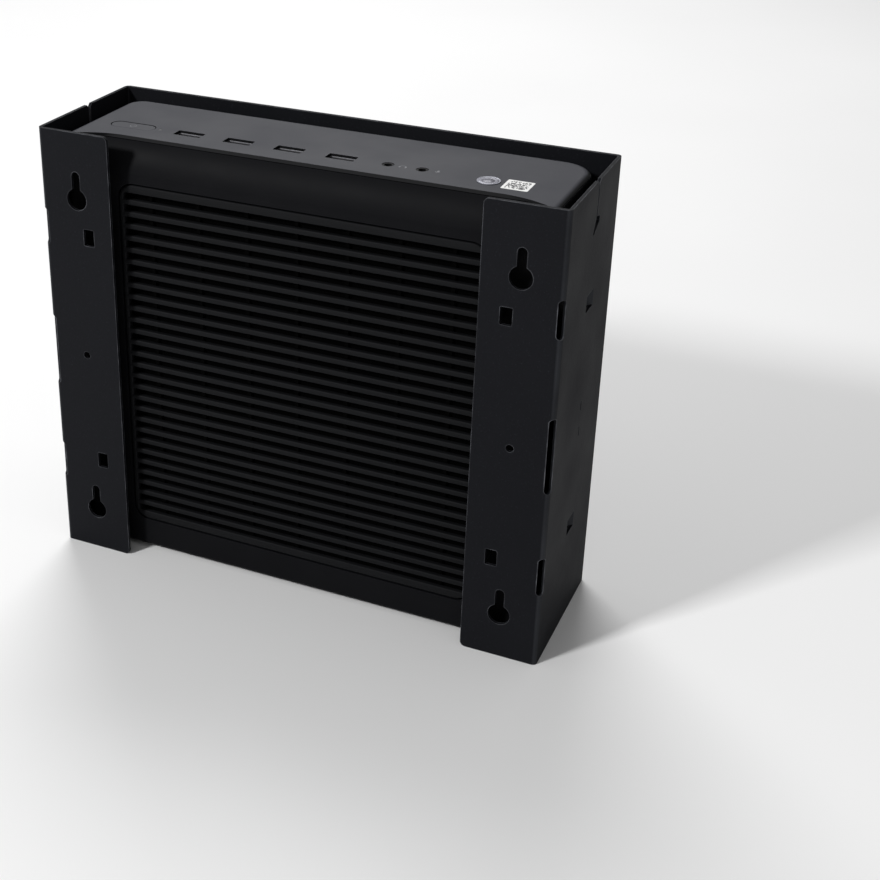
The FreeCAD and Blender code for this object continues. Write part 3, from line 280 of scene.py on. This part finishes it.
def circuit_board():
    """Green solder mask over etched copper: square tracks that show as a low relief, and pale pads."""
    material, shader = new_material("circuit_board", (0.008, 0.05, 0.02), 0.35, coat=0.3)
    tracks = add_node(material, "ShaderNodeTexBrick")
    tracks.inputs["Scale"].default_value = 120.0
    tracks.inputs["Mortar Size"].default_value = 0.012
    tracks.inputs["Color1"].default_value = (*grey(1.0), 1)
    tracks.inputs["Color2"].default_value = (*grey(0.6), 1)
    tracks.inputs["Mortar"].default_value = (*grey(0.0), 1)
    turn = add_node(material, "ShaderNodeMapping")
    turn.inputs["Rotation"].default_value = (math.radians(90), 0, 0)
    link(material, place(material), turn.inputs["Vector"])
    link(material, turn.outputs["Vector"], tracks.inputs["Vector"])
    pads = ramp(material, noise(material, 1.6, detail=0.0), [(0.7, grey(0.0)), (0.73, grey(1.0))])
    mask = ramp(material, noise(material, 20.0), [(0.3, (0.004, 0.035, 0.015)), (0.7, (0.009, 0.055, 0.024))])
    shaded = blend(material, 0.35, mask, blend(material, 1.0, mask, tracks.outputs["Color"], "MULTIPLY"))
    link(material, blend(material, pads, shaded, (0.45, 0.4, 0.25)), shader.inputs["Base Color"])
    vary_roughness(material, shader, noise(material, 8.0), 0.28, 0.42)
    bump(material, shader, [(tracks.outputs["Fac"], 0.03)])
    return material


def rubber():
    """Matt rubber with a fine pitted skin."""
    material, shader = new_material("foot_rubber", (0.012, 0.012, 0.013), 0.8, specular=0.25)
    pits = noise(material, 0.5, detail=3.0, roughness=0.7)
    link(material, ramp(material, noise(material, 6.0), [(0.3, grey(0.009)), (0.7, grey(0.02))]),
         shader.inputs["Base Color"])
    vary_roughness(material, shader, pits, 0.7, 0.9)
    bump(material, shader, [(pits, 0.04)])
    return material


def woven_shade_screen():
    """A fine black filter cloth: round threads that cross over and under each other. Its near-black colour is
    partly painted shade, for the dark deep inside the grille slots.
    """
    material, shader = new_material("filter_cloth_with_shade", (0.001, 0.001, 0.0012), 0.85, specular=0.03)
    threads = []
    for axis in ("X", "Z"):
        wave = add_node(material, "ShaderNodeTexWave", wave_type="BANDS", bands_direction=axis)
        wave.inputs["Scale"].default_value = 700.0
        link(material, place(material), wave.inputs["Vector"])
        threads.append(wave.outputs["Fac"])
    weave = multiply(material, *threads)
    # Painted shade: near-black threads stand in for the dark deep inside the slots
    link(material, ramp(material, weave, [(0.1, grey(0.0004)), (0.9, grey(0.0014))]),
         shader.inputs["Base Color"])
    vary_roughness(material, shader, noise(material, 6.0), 0.8, 0.92)
    bump(material, shader, [(weave, 0.08)])
    return material


def printed_paper(name, color):
    """Coated paper or ink with a faint fibre and a little grime."""
    material, shader = new_material(name, color, 0.4, specular=0.4)
    fibre = noise(material, 0.35, detail=4.0, stretch=(1, 1.6, 1))
    low = tuple(c * 0.9 for c in color)
    link(material, ramp(material, noise(material, 3.0, detail=4.0), [(0.35, low), (0.6, color)]),
         shader.inputs["Base Color"])
    vary_roughness(material, shader, fibre, 0.34, 0.5)
    bump(material, shader, [(fibre, 0.01)])
    return material


def badge_face():
    """Satin foil under clear lacquer: a pale rim round a darker field."""
    material, shader = new_material("badge_foil", (0.2, 0.2, 0.24), 0.5, metallic=0.5, coat=0.2)
    coords = add_node(material, "ShaderNodeTexCoord")
    away = add_node(material, "ShaderNodeVectorMath", operation="DISTANCE")
    away.inputs[1].default_value = (BADGE_LOW + BADGE_HIGH) / 2
    link(material, coords.outputs["Object"], away.inputs[0])
    share = add_node(material, "ShaderNodeMath", operation="DIVIDE")
    share.inputs[1].default_value = (BADGE_HIGH.x - BADGE_LOW.x) / 2
    link(material, away.outputs["Value"], share.inputs[0])
    rings = ramp(material, share.outputs[0], [
        (0.50, (0.10, 0.10, 0.125)), (0.56, (0.16, 0.16, 0.19)),
        (0.78, (0.13, 0.13, 0.16)), (0.84, (0.24, 0.245, 0.285)),
    ])
    drift = ramp(material, noise(material, 2.5, detail=4.0), [(0.35, grey(0.8)), (0.65, grey(1.0))])
    link(material, blend(material, 1.0, rings, drift, "MULTIPLY"), shader.inputs["Base Color"])
    vary_roughness(material, shader, noise(material, 0.5, detail=3.0), 0.42, 0.56)
    bump(material, shader, [(noise(material, 0.4, detail=3.0), 0.004)])
    return material


def frosted_lens():
    """The clear light guide, frosted at its tip."""
    material, shader = new_material("light_guide", (0.03, 0.032, 0.036), 0.45)
    shader.inputs["Transmission Weight"].default_value = 0.3
    shader.inputs["IOR"].default_value = 1.49
    frost = noise(material, 0.3, detail=2.0)
    link(material, ramp(material, frost, [(0.3, (0.014, 0.015, 0.018)), (0.7, (0.026, 0.028, 0.032))]),
         shader.inputs["Base Color"])
    bump(material, shader, [(frost, 0.01)])
    return material


MATERIALS = {
    "sleeve": powder_coat(),
    "shell": moulded_plastic(
        "shell_plastic", (0.0050, 0.0051, 0.0060), (0.0064, 0.0065, 0.0075), (0.46, 0.56),
        gloss=0.035, edge=(0.014, 0.0145, 0.017)),
    "grille": moulded_plastic(
        "grille_plastic", (0.0040, 0.0042, 0.0050), (0.0056, 0.0059, 0.0068), (0.6, 0.7), gloss=0.11),
    # Panel: its lighter top against its dark sides is painted top light and side shade on one plastic
    "panel": moulded_plastic(
        "panel_plastic", (0.0220, 0.0230, 0.0305), (0.0250, 0.0262, 0.0343), (0.52, 0.62),
        gloss=0.17, depth=0.012, shaded_sides=(0.0040, 0.0042, 0.0050)),
    "button": moulded_plastic(
        "button_plastic", (0.0228, 0.0238, 0.0312), (0.0262, 0.0272, 0.0352), (0.5, 0.6),
        gloss=0.17, depth=0.01, edge=(0.045, 0.047, 0.056), edge_mm=0.3),
    "black": moulded_plastic("black_plastic", (0.008, 0.008, 0.009), (0.014, 0.014, 0.015), (0.38, 0.5)),
    "chip": moulded_plastic(
        "chip_epoxy", (0.012, 0.012, 0.013), (0.02, 0.02, 0.021), (0.5, 0.7), grain_mm=0.2),
    "steel": metal("plated_steel", (0.50, 0.50, 0.51), (0.60, 0.60, 0.61), (0.28, 0.42), brush=(1, 1, 0.15)),
    # Port shells: plated steel darkened as painted shade for the unlit inside of the port mouths
    "shaded_port_metal": metal("shaded_port_metal", (0.055, 0.055, 0.06), (0.085, 0.085, 0.09), (0.45, 0.6), size=0.4),
    "tongue": moulded_plastic(
        "tongue_plastic", (0.004, 0.004, 0.0045), (0.006, 0.006, 0.0065), (0.6, 0.7), gloss=0.1),
    "black_steel": metal("black_oxide", (0.05, 0.05, 0.055), (0.08, 0.08, 0.085), (0.4, 0.55), size=0.3),
    "aluminium": metal(
        "sink_aluminium", (0.62, 0.63, 0.64), (0.72, 0.73, 0.74), (0.3, 0.48), brush=(0.2, 1, 1)),
    "lid": metal("nickel_lid", (0.58, 0.57, 0.55), (0.68, 0.67, 0.65), (0.25, 0.35), size=0.3),
    "drive": metal("cast_drive", (0.42, 0.42, 0.43), (0.50, 0.50, 0.51), (0.4, 0.6), depth=0.02, size=1.2),
    "gold": metal("contact_gold", (0.72, 0.50, 0.20), (0.83, 0.60, 0.27), (0.22, 0.35), size=0.3),
    "brass": metal("turned_brass", (0.60, 0.44, 0.20), (0.70, 0.52, 0.25), (0.25, 0.4), size=0.3),
    "board": circuit_board(),
    "rubber": rubber(),
    "paper": printed_paper("label_paper", (0.78, 0.78, 0.77)),
    "ink": printed_paper("label_ink", (0.02, 0.02, 0.022)),
    "sign": printed_paper("sign_ink", (0.085, 0.087, 0.10)),
    "mesh": woven_shade_screen(),
    "disc": badge_face(),
    "lens": frosted_lens(),
}

NODE_LOOKS = {
    "sleeve": ["mounting_sleeve"],
    "shell": ["top_cover", "base_shell"],
    "panel": ["front_bezel"],
    "button": ["power_button"],
    "tongue": ["audio_jacks"],
    "black": ["power_switch", "cpu_socket", "fan_frame", "fan_rotor", "memory_sockets",
              "m2_sockets", "coin_cell_holder", "speaker", "lan_jack", "rear_usb_frames", "dc_jack"],
    "chip": ["power_chokes"],
    "board": ["front_board", "motherboard", "memory_modules", "ssd_card", "radio_card"],
    "steel": ["rear_plate", "drive_caddy", "board_screws", "fan_screws", "video_ports", "lock_slot",
              "coin_cell"],
    "black_steel": ["case_screws", "thumbscrew"],
    "aluminium": ["heat_sink", "capacitors", "chipset_sink"],
    "lid": ["processor"],
    "drive": ["storage_drive"],
    "gold": ["antennas"],
    "brass": ["board_standoffs"],
    "mesh": ["dust_screen"],
    "rubber": ["rubber_feet"],
    "lens": ["led_lens"],
}
SOFT_EDGES = {
    "mounting_sleeve": 0.3, "top_cover": 0.25, "base_shell": 0.25, "front_bezel": 0.2, "power_button": 0.15,
    "audio_jacks": 0.2, "rear_plate": 0.15, "lan_jack": 0.2, "dc_jack": 0.2, "video_ports": 0.12,
    "speaker": 0.3, "storage_drive": 0.4, "fan_frame": 0.3, "thumbscrew": 0.12, "case_screws": 0.15,
    "drive_caddy": 0.15,
}


def soften(piece, width_mm):
    """Joins the mesh's split corners, then rounds its sharp edges with modifiers."""
    weld = piece.modifiers.new("weld", "WELD")
    weld.merge_threshold = 0.00001
    bevel = piece.modifiers.new("soft_edges", "BEVEL")
    bevel.width = width_mm * MM
    bevel.segments = 2
    bevel.limit_method = "ANGLE"
    bevel.angle_limit = math.radians(35)
    bevel.use_clamp_overlap = True
    bevel.harden_normals = False
    weighted = piece.modifiers.new("even_normals", "WEIGHTED_NORMAL")
    weighted.keep_sharp = True
    weighted.weight = 80


def dress_frame():
    """Gives every frame node its material, and softens the edges of those that are seen."""
    for look, names in NODE_LOOKS.items():
        for name in names:
            node = NODES[name]
            node.data.materials.clear()
            node.data.materials.append(MATERIALS[look])
    for name, width in SOFT_EDGES.items():
        soften(NODES[name], width)


# ---------------------------------------------------------------- mesh helpers
def finish_piece(name, mesh, look, body, smooth_angle=35):
    """Makes an object of a bmesh, with its material, shading and body."""
    bmesh.ops.recalc_face_normals(mesh, faces=mesh.faces)
    data = bpy.data.meshes.new(name)
    mesh.to_mesh(data)
    mesh.free()
    data.materials.append(MATERIALS[look])
    data.shade_smooth()
    data.set_sharp_from_angle(angle=math.radians(smooth_angle))
    piece = bpy.data.objects.new(name, data)
    bpy.context.scene.collection.objects.link(piece)
    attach(piece, body)
    return piece


def add_box(mesh, low, high, bevel_mm=0.0, segments=2):
    """A block between two corners, in metres, with its edges rounded."""
    low, high = Vector(low), Vector(high)
    corners = bmesh.ops.create_cube(mesh, size=1.0)["verts"]
    bmesh.ops.scale(mesh, vec=high - low, verts=corners)
    bmesh.ops.translate(mesh, vec=(low + high) / 2, verts=corners)
    if bevel_mm:
        edges = list({edge for vertex in corners for edge in vertex.link_edges})
        bmesh.ops.bevel(
            mesh, geom=edges, offset=bevel_mm * MM, segments=segments, profile=0.5, affect="EDGES")


def add_prism(mesh, outline, direction):
    """A closed outline of points swept along a direction, with caps."""
    first = [mesh.verts.new(point) for point in outline]
    second = [mesh.verts.new(Vector(point) + Vector(direction)) for point in outline]
    count = len(outline)
    for i in range(count):
        j = (i + 1) % count
        mesh.faces.new((first[i], first[j], second[j], second[i]))
    mesh.faces.new(first)
    mesh.faces.new(list(reversed(second)))


def bridge(mesh, loops):
    """Walls between each loop of vertices and the next."""
    for low, high in zip(loops, loops[1:]):
        for i in range(len(low)):
            j = (i + 1) % len(low)
            mesh.faces.new((low[i], low[j], high[j], high[i]))


def add_lathe(mesh, centre, axis, profile, steps=48):
    """A profile of (radius, height) points turned about an axis through centre."""
    axis = Vector(axis).normalized()
    side = axis.orthogonal().normalized()
    other = axis.cross(side)
    rings = []
    for radius, height in profile:
        base = Vector(centre) + axis * height
        if radius == 0:
            rings.append([mesh.verts.new(base)])
            continue
        ring = []
        for k in range(steps):
            a = 2 * math.pi * k / steps
            outward = side * math.cos(a) + other * math.sin(a)
            ring.append(mesh.verts.new(base + outward * radius))
        rings.append(ring)
    for low, high in zip(rings, rings[1:]):
        for k in range(steps):
            n = (k + 1) % steps
            if len(low) == 1:
                mesh.faces.new((low[0], high[k], high[n]))
            elif len(high) == 1:
                mesh.faces.new((low[k], low[n], high[0]))
            else:
                mesh.faces.new((low[k], low[n], high[n], high[k]))


# ---------------------------------------------------------------- the ribbed grille
GRILLE_SLOTS = 29
SLOT_SHARE = 0.54
END_GAP = 0.45 * MM
CORNER_R = 7.2 * MM
STILE = 2.1 * MM
OPENING_R = 1.2 * MM
LIP = 0.5 * MM
RIB_OVERLAP = 0.4 * MM
WEB_COUNT, WEB_PITCH = 7, 25 * MM
WEB_HALF, WEB_T = 0.9 * MM, 1.0 * MM

GRILLE_FRONT, GRILLE_BACK = GRILLE_LOW.y, GRILLE_HIGH.y - WEB_T
GRILLE_HALF_W = (GRILLE_HIGH.x - GRILLE_LOW.x) / 2
GRILLE_HALF_H = (GRILLE_HIGH.z - GRILLE_LOW.z) / 2
GRILLE_MIDDLE = (GRILLE_HIGH.z + GRILLE_LOW.z) / 2
RIB_PITCH = (2 * GRILLE_HALF_H + 2 * END_GAP) / (GRILLE_SLOTS + 1)
SLOT_H = RIB_PITCH * SLOT_SHARE
SLOT_TOP = GRILLE_MIDDLE + GRILLE_HALF_H - (RIB_PITCH - SLOT_H / 2 - END_GAP)
SLOT_BOTTOM = GRILLE_MIDDLE - (SLOT_TOP - GRILLE_MIDDLE)
OPENING_HALF_W = GRILLE_HALF_W - STILE


def rounded_rect(half_w, half_h, radius, steps=8):
    """Points of a rounded rectangle about the origin, anticlockwise."""
    points = []
    for cx, cz, start in ((1, 1, 0), (-1, 1, 90), (-1, -1, 180), (1, -1, 270)):
        for k in range(steps + 1):
            a = math.radians(start + 90 * k / steps)
            points.append((
                cx * (half_w - radius) + radius * math.cos(a),
                cz * (half_h - radius) + radius * math.sin(a),
            ))
    return points


def rib_profile(low, high, front, back, crown_steps=6):
    """A rib's section in (y, z): a flat back and a softly crowned front with round shoulders."""
    half = (high - low) / 2
    middle = (high + low) / 2
    shoulder = min(half * 0.55, 0.9 * MM)
    points = [(back, low)]
    for first, centre in ((-90, middle - half + shoulder), (0, middle + half - shoulder)):
        for k in range(crown_steps + 1):
            a = math.radians(first + 90 * k / crown_steps)
            points.append((front + shoulder - shoulder * math.cos(a), centre + shoulder * math.sin(a)))
    points.append((back, high))
    return points


def add_grille_frame(mesh):
    """The frame round the slots, with its lips rounded inside and outside."""
    front, back = GRILLE_FRONT, GRILLE_BACK
    outer = rounded_rect(GRILLE_HALF_W, GRILLE_HALF_H, CORNER_R)
    inner = rounded_rect(OPENING_HALF_W, SLOT_TOP - GRILLE_MIDDLE, OPENING_R)
    loops = []
    for points, inset, depth in (
        (outer, 0.0, back), (outer, 0.0, front + LIP),
        (outer, LIP * 0.3, front + LIP * 0.3), (outer, LIP, front),
        (inner, -LIP, front), (inner, -LIP * 0.3, front + LIP * 0.3),
        (inner, 0.0, front + LIP), (inner, 0.0, back),
    ):
        scale_w = 1 - inset / GRILLE_HALF_W
        scale_h = 1 - inset / GRILLE_HALF_H
        loops.append([
            mesh.verts.new((x * scale_w, depth, GRILLE_MIDDLE + z * scale_h)) for x, z in points
        ])
    bridge(mesh, loops + [loops[0]])


def build_grille():
    """The grille insert: a rounded frame and 28 crowned ribs between its stiles."""
    mesh = bmesh.new()
    add_grille_frame(mesh)
    rib_end = OPENING_HALF_W + RIB_OVERLAP
    for k in range(1, GRILLE_SLOTS):
        low = SLOT_BOTTOM + SLOT_H + RIB_PITCH * (k - 1)
        section = rib_profile(low, low + RIB_PITCH - SLOT_H, GRILLE_FRONT, GRILLE_BACK)
        add_prism(mesh, [(-rib_end, y, z) for y, z in section], (2 * rib_end, 0, 0))
    piece = finish_piece("air_grille", mesh, "grille", COMPUTER, smooth_angle=50)
    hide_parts("vent_grille")


def build_webs():
    """The upright webs that tie the ribs together from behind, in the cloth's near-black: painted shade for
    the dark behind the ribs.
    """
    mesh = bmesh.new()
    for k in range(WEB_COUNT):
        x = (k - (WEB_COUNT - 1) / 2) * WEB_PITCH
        add_box(
            mesh, (x - WEB_HALF, GRILLE_BACK - 0.1 * MM, SLOT_BOTTOM - 1 * MM),
            (x + WEB_HALF, GRILLE_BACK + WEB_T, SLOT_TOP + 1 * MM),
        )
    webs = finish_piece("grille_webs", mesh, "mesh", COMPUTER)


# ---------------------------------------------------------------- ports
PORT_W, PORT_H, PORT_DEPTH, PORT_WALL = 13.1 * MM, 5.7 * MM, 14.0 * MM, 0.35 * MM
SPRING_X, SPRING_HALF, SPRING_RISE = 3.0 * MM, 0.9 * MM, 0.45 * MM
CONTACT_X, CONTACT_HALF = (-3.5, -1.0, 1.0, 3.5), 0.45 * MM


def add_port_shell(mesh, x, y, mouth, inward):
    """The sheet shell of a port: four walls with a flared lip, and two pressed springs on each side."""
    half_w, half_h = PORT_W / 2, PORT_H / 2
    rings = []
    for inset, depth in (
        (PORT_WALL + 0.05 * MM, 1.2 * MM), (PORT_WALL * 0.8, 0.2 * MM), (PORT_WALL * 0.4, 0.0),
        (0.0, 0.15 * MM), (0.0, PORT_DEPTH), (PORT_WALL, PORT_DEPTH), (PORT_WALL, 1.3 * MM),
    ):
        outline = rounded_rect(half_w - inset, half_h - inset, 0.5 * MM, steps=3)
        rings.append([mesh.verts.new((x + u, y + v, mouth + inward * depth)) for u, v in outline])
    bridge(mesh, rings + [rings[0]])
    for side in (-1, 1):
        wall = y + side * (half_h - PORT_WALL)
        for offset in (-SPRING_X, SPRING_X):
            end = x + offset - SPRING_HALF
            outline = [
                (end, wall, mouth + inward * 2.2 * MM),
                (end, wall - side * SPRING_RISE, mouth + inward * 4.4 * MM),
                (end, wall, mouth + inward * 6.4 * MM),
            ]
            add_prism(mesh, outline, (2 * SPRING_HALF, 0, 0))


def depth_span(mouth, inward, near_mm, far_mm):
    """The lower and the upper z between two depths inside a port."""
    return sorted((mouth + inward * near_mm * MM, mouth + inward * far_mm * MM))


def add_port_tongue(mesh, x, y, mouth, inward):
    """The plastic tongue and the block at its root."""
    low, high = depth_span(mouth, inward, 11.0, 13.6)
    add_box(mesh, (x - 6.0 * MM, y - 2.3 * MM, low), (x + 6.0 * MM, y + 2.3 * MM, high), 0.1)
    low, high = depth_span(mouth, inward, 1.6, 11.2)
    add_box(mesh, (x - 5.3 * MM, y + 0.1 * MM, low), (x + 5.3 * MM, y + 2.0 * MM, high), 0.3)


def add_port_contacts(mesh, x, y, mouth, inward):
    """Four flat contacts along the tongue."""
    low, high = depth_span(mouth, inward, 2.4, 10.5)
    for offset in CONTACT_X:
        centre = x + offset * MM
        add_box(
            mesh, (centre - CONTACT_HALF, y - 0.04 * MM, low), (centre + CONTACT_HALF, y + 0.2 * MM, high),
            0.04, 1)


def port_centres(node):
    """The centre of each separate port in a node of shells, found by grouping its vertices."""
    mesh = bmesh.new()
    mesh.from_mesh(NODES[node].data)
    bmesh.ops.remove_doubles(mesh, verts=mesh.verts, dist=0.00001)
    seen, centres = set(), []
    for start in mesh.verts:
        if start in seen:
            continue
        stack, part = [start], []
        seen.add(start)
        while stack:
            vertex = stack.pop()
            part.append(vertex.co.copy())
            for edge in vertex.link_edges:
                other = edge.other_vert(vertex)
                if other not in seen:
                    seen.add(other)
                    stack.append(other)
        low = Vector(min(p[i] for p in part) for i in range(3))
        high = Vector(max(p[i] for p in part) for i in range(3))
        centres.append((low + high) / 2)
    mesh.free()
    return sorted(centres, key=lambda c: (round(c.x, 5), round(c.y, 5)))


def build_ports(side, mouth, inward):
    """The shells, tongues and contacts of all ports on one side of the computer."""
    centres = port_centres(f"{side}_usb_shells")
    for part, add, look, slot in (
        ("shells", add_port_shell, "shaded_port_metal", "plated_steel"),
        ("tongues", add_port_tongue, "tongue", "black_plastic"),
        ("contacts", add_port_contacts, "gold", "copper_gold"),
    ):
        mesh = bmesh.new()
        for centre in centres:
            add(mesh, centre.x, centre.y, mouth, inward)
        piece = finish_piece(f"{side}_port_{part}", mesh, look, COMPUTER)
        if part != "contacts":
            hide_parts(f"{side}_usb_{part}")


# ---------------------------------------------------------------- label, badge and printed signs
LABEL_CELLS, LABEL_MARGIN = 15, 1.25 * MM
PAPER_T, PRINT_T = 0.1 * MM, 0.02 * MM
CELL_SHARE = 0.98


def build_label():
    """A white square label with a block pattern of seeded random cells, which spells nothing."""
    centre = (LABEL_LOW + LABEL_HIGH) / 2
    half = (LABEL_HIGH.x - LABEL_LOW.x) / 2
    mesh = bmesh.new()
    outline = rounded_rect(half, half, 0.6 * MM, steps=4)
    add_prism(mesh, [(centre.x + u, centre.y + v, LABEL_LOW.z) for u, v in outline], (0, 0, PAPER_T))
    paper = finish_piece("label_sheet", mesh, "paper", COMPUTER)
    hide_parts("code_label")
    draw = random.Random(11)
    mesh = bmesh.new()
    top = LABEL_LOW.z + PAPER_T
    cell = (half - LABEL_MARGIN) * 2 / LABEL_CELLS
    for row in range(LABEL_CELLS):
        for column in range(LABEL_CELLS):
            if draw.random() < 0.5:
                x = centre.x + (column - LABEL_CELLS / 2) * cell
                y = centre.y + (row - LABEL_CELLS / 2) * cell
                add_box(mesh, (x, y, top), (x + cell * CELL_SHARE, y + cell * CELL_SHARE, top + PRINT_T))
    pattern = finish_piece("label_print", mesh, "ink", COMPUTER)


def build_badge():
    """A plain round badge: a domed disc inside a raised rim, with two fine grooves."""
    centre = (BADGE_LOW + BADGE_HIGH) / 2
    r, h = (BADGE_HIGH.x - BADGE_LOW.x) / 2, BADGE_HIGH.z - BADGE_LOW.z
    mesh = bmesh.new()
    profile = [(0, 0), (r * 0.99, 0), (r, h * 0.3), (r * 0.985, h * 0.8), (r * 0.95, h), (r * 0.90, h * 0.95),
               (r * 0.87, h * 0.6), (r * 0.84, h * 0.6), (r * 0.82, h * 0.8), (r * 0.55, h * 0.88),
               (r * 0.53, h * 0.7), (r * 0.50, h * 0.7), (r * 0.48, h * 0.9), (0, h * 0.95)]
    add_lathe(mesh, (centre.x, centre.y, BADGE_LOW.z), (0, 0, 1), profile, steps=72)
    piece = finish_piece("round_badge", mesh, "disc", COMPUTER, smooth_angle=60)
    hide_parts("badge_disc")


INK_T = 0.03 * MM
JACK_R = 3.4 * MM
SIGN_STEP = 7.2 * MM


def add_arc(mesh, centre, outer, inner, start, end, steps=24):
    """A flat arc of printed ink between two angles."""
    points = []
    for radius, order in ((outer, range(steps + 1)), (inner, range(steps, -1, -1))):
        for k in order:
            a = math.radians(start + (end - start) * k / steps)
            points.append((centre[0] + radius * math.cos(a), centre[1] + radius * math.sin(a), centre[2]))
    add_prism(mesh, points, (0, 0, INK_T))


def add_bar(mesh, x, half, low_y, high_y, z):
    """A flat upright bar of printed ink."""
    add_box(mesh, (x - half, low_y, z), (x + half, high_y, z + INK_T))


def add_headphone(mesh, x, y, z):
    """A headphone: a band and two ear pads."""
    add_arc(mesh, (x, y - 0.4 * MM, z), 1.6 * MM, 1.25 * MM, 10, 170)
    for side in (-1, 1):
        add_bar(mesh, x + side * 1.42 * MM, 0.4 * MM, y - 1.5 * MM, y - 0.1 * MM, z)


def add_microphone(mesh, x, y, z):
    """A microphone: its capsule, the holder round it and a stem."""
    capsule = rounded_rect(0.55 * MM, 1.1 * MM, 0.5 * MM, steps=4)
    add_prism(mesh, [(x + u, y + 0.6 * MM + v, z) for u, v in capsule], (0, 0, INK_T))
    add_arc(mesh, (x, y + 0.3 * MM, z), 1.3 * MM, 1.02 * MM, 190, 350)
    add_bar(mesh, x, 0.14 * MM, y - 1.8 * MM, y - 0.85 * MM, z)


def build_signs():
    """Printed signs: a headphone and a microphone beside the sockets, and a power ring on the button."""
    mesh = bmesh.new()
    add_headphone(mesh, JACKS_LOW.x + JACK_R + SIGN_STEP, PORT_Y, PANEL_Z)
    add_microphone(mesh, JACKS_HIGH.x - JACK_R + SIGN_STEP, PORT_Y, PANEL_Z)
    signs = finish_piece("socket_signs", mesh, "sign", COMPUTER)
    mesh = bmesh.new()
    x, z = (BUTTON_LOW.x + BUTTON_HIGH.x) / 2, BUTTON_HIGH.z
    add_arc(mesh, (x, PORT_Y - 0.1 * MM, z), 1.7 * MM, 1.4 * MM, 120, 420)
    add_bar(mesh, x, 0.15 * MM, PORT_Y + 0.4 * MM, PORT_Y + 2.0 * MM, z)
    power = finish_piece("power_sign", mesh, "sign", "power_button")


# ---------------------------------------------------------------- stage, light and camera
CAMERA_AT = (0.2735, -0.5944, 0.4317)
CAMERA_YAW, CAMERA_PITCH, CAMERA_ROLL = 24.20, 25.01, 0.58
CAMERA_LENS = 61.68
CAMERA_SHIFT = (0.12, -0.12)
FLOOR_HALF, FLOOR_DROP = 6.0, 0.2 * MM


def build_stage():
    """A wide pale floor with a faint grain."""
    mesh = bmesh.new()
    bmesh.ops.create_grid(mesh, x_segments=8, y_segments=8, size=FLOOR_HALF)
    data = bpy.data.meshes.new("floor")
    mesh.to_mesh(data)
    mesh.free()
    material, shader = new_material("pale_floor", (0.86, 0.86, 0.86), 0.6, specular=0.2)
    link(material, ramp(material, noise(material, 400.0), [(0.3, grey(0.85)), (0.7, grey(0.88))]),
         shader.inputs["Base Color"])
    data.materials.append(material)
    floor = bpy.data.objects.new("floor", data)
    floor.location.z = -FLOOR_DROP
    bpy.context.scene.collection.objects.link(floor)


def area_light(name, place_at, aim, size, power):
    """A soft square lamp that points at aim."""
    data = bpy.data.lights.new(name, "AREA")
    data.size = size
    data.energy = power
    lamp = bpy.data.objects.new(name, data)
    lamp.location = place_at
    lamp.rotation_mode = "QUATERNION"
    lamp.rotation_quaternion = (Vector(aim) - Vector(place_at)).to_track_quat("-Z", "Y")
    bpy.context.scene.collection.objects.link(lamp)


def build_lights():
    """A small key from the front left, a broad lamp high behind, a faint fill and a dim surround."""
    middle = (0.0, 0.0, (SLEEVE_LOW.z + SLEEVE_HIGH.z) / 2)
    area_light("key_light", (-0.92, -1.50, 1.32), middle, 0.26, 31.0)
    area_light("back_light", (-0.7, 1.35, 1.75), middle, 1.2, 31.0)
    area_light("right_light", (1.9, 0.0, 0.9), middle, 0.8, 0.6)
    world = bpy.data.worlds.new("surround")
    world.use_nodes = True
    background = world.node_tree.nodes["Background"]
    background.inputs["Color"].default_value = (1.0, 1.0, 1.0, 1.0)
    background.inputs["Strength"].default_value = 0.3
    bpy.context.scene.world = world
    bpy.context.scene.view_settings.view_transform = "Standard"


def build_camera():
    """The camera, high on the right, looking down at the grille side."""
    data = bpy.data.cameras.new("camera")
    data.lens = CAMERA_LENS
    data.sensor_width = 36.0
    data.shift_x, data.shift_y = CAMERA_SHIFT
    data.clip_start, data.clip_end = 0.01, 50.0
    camera = bpy.data.objects.new("camera", data)
    turn = Matrix.Rotation(math.radians(CAMERA_YAW), 4, "Z")
    tilt = Matrix.Rotation(math.radians(90 - CAMERA_PITCH), 4, "X")
    roll = Matrix.Rotation(math.radians(CAMERA_ROLL), 4, "Z")
    camera.matrix_world = Matrix.Translation(CAMERA_AT) @ turn @ tilt @ roll
    bpy.context.scene.collection.objects.link(camera)
    bpy.context.scene.camera = camera


dress_frame()
build_grille()
build_webs()
build_ports("front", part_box("front_usb_shells")[1].z, -1)
build_ports("rear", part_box("rear_usb_shells")[0].z, 1)
build_label()
build_badge()
build_signs()
build_stage()
build_lights()
build_camera()
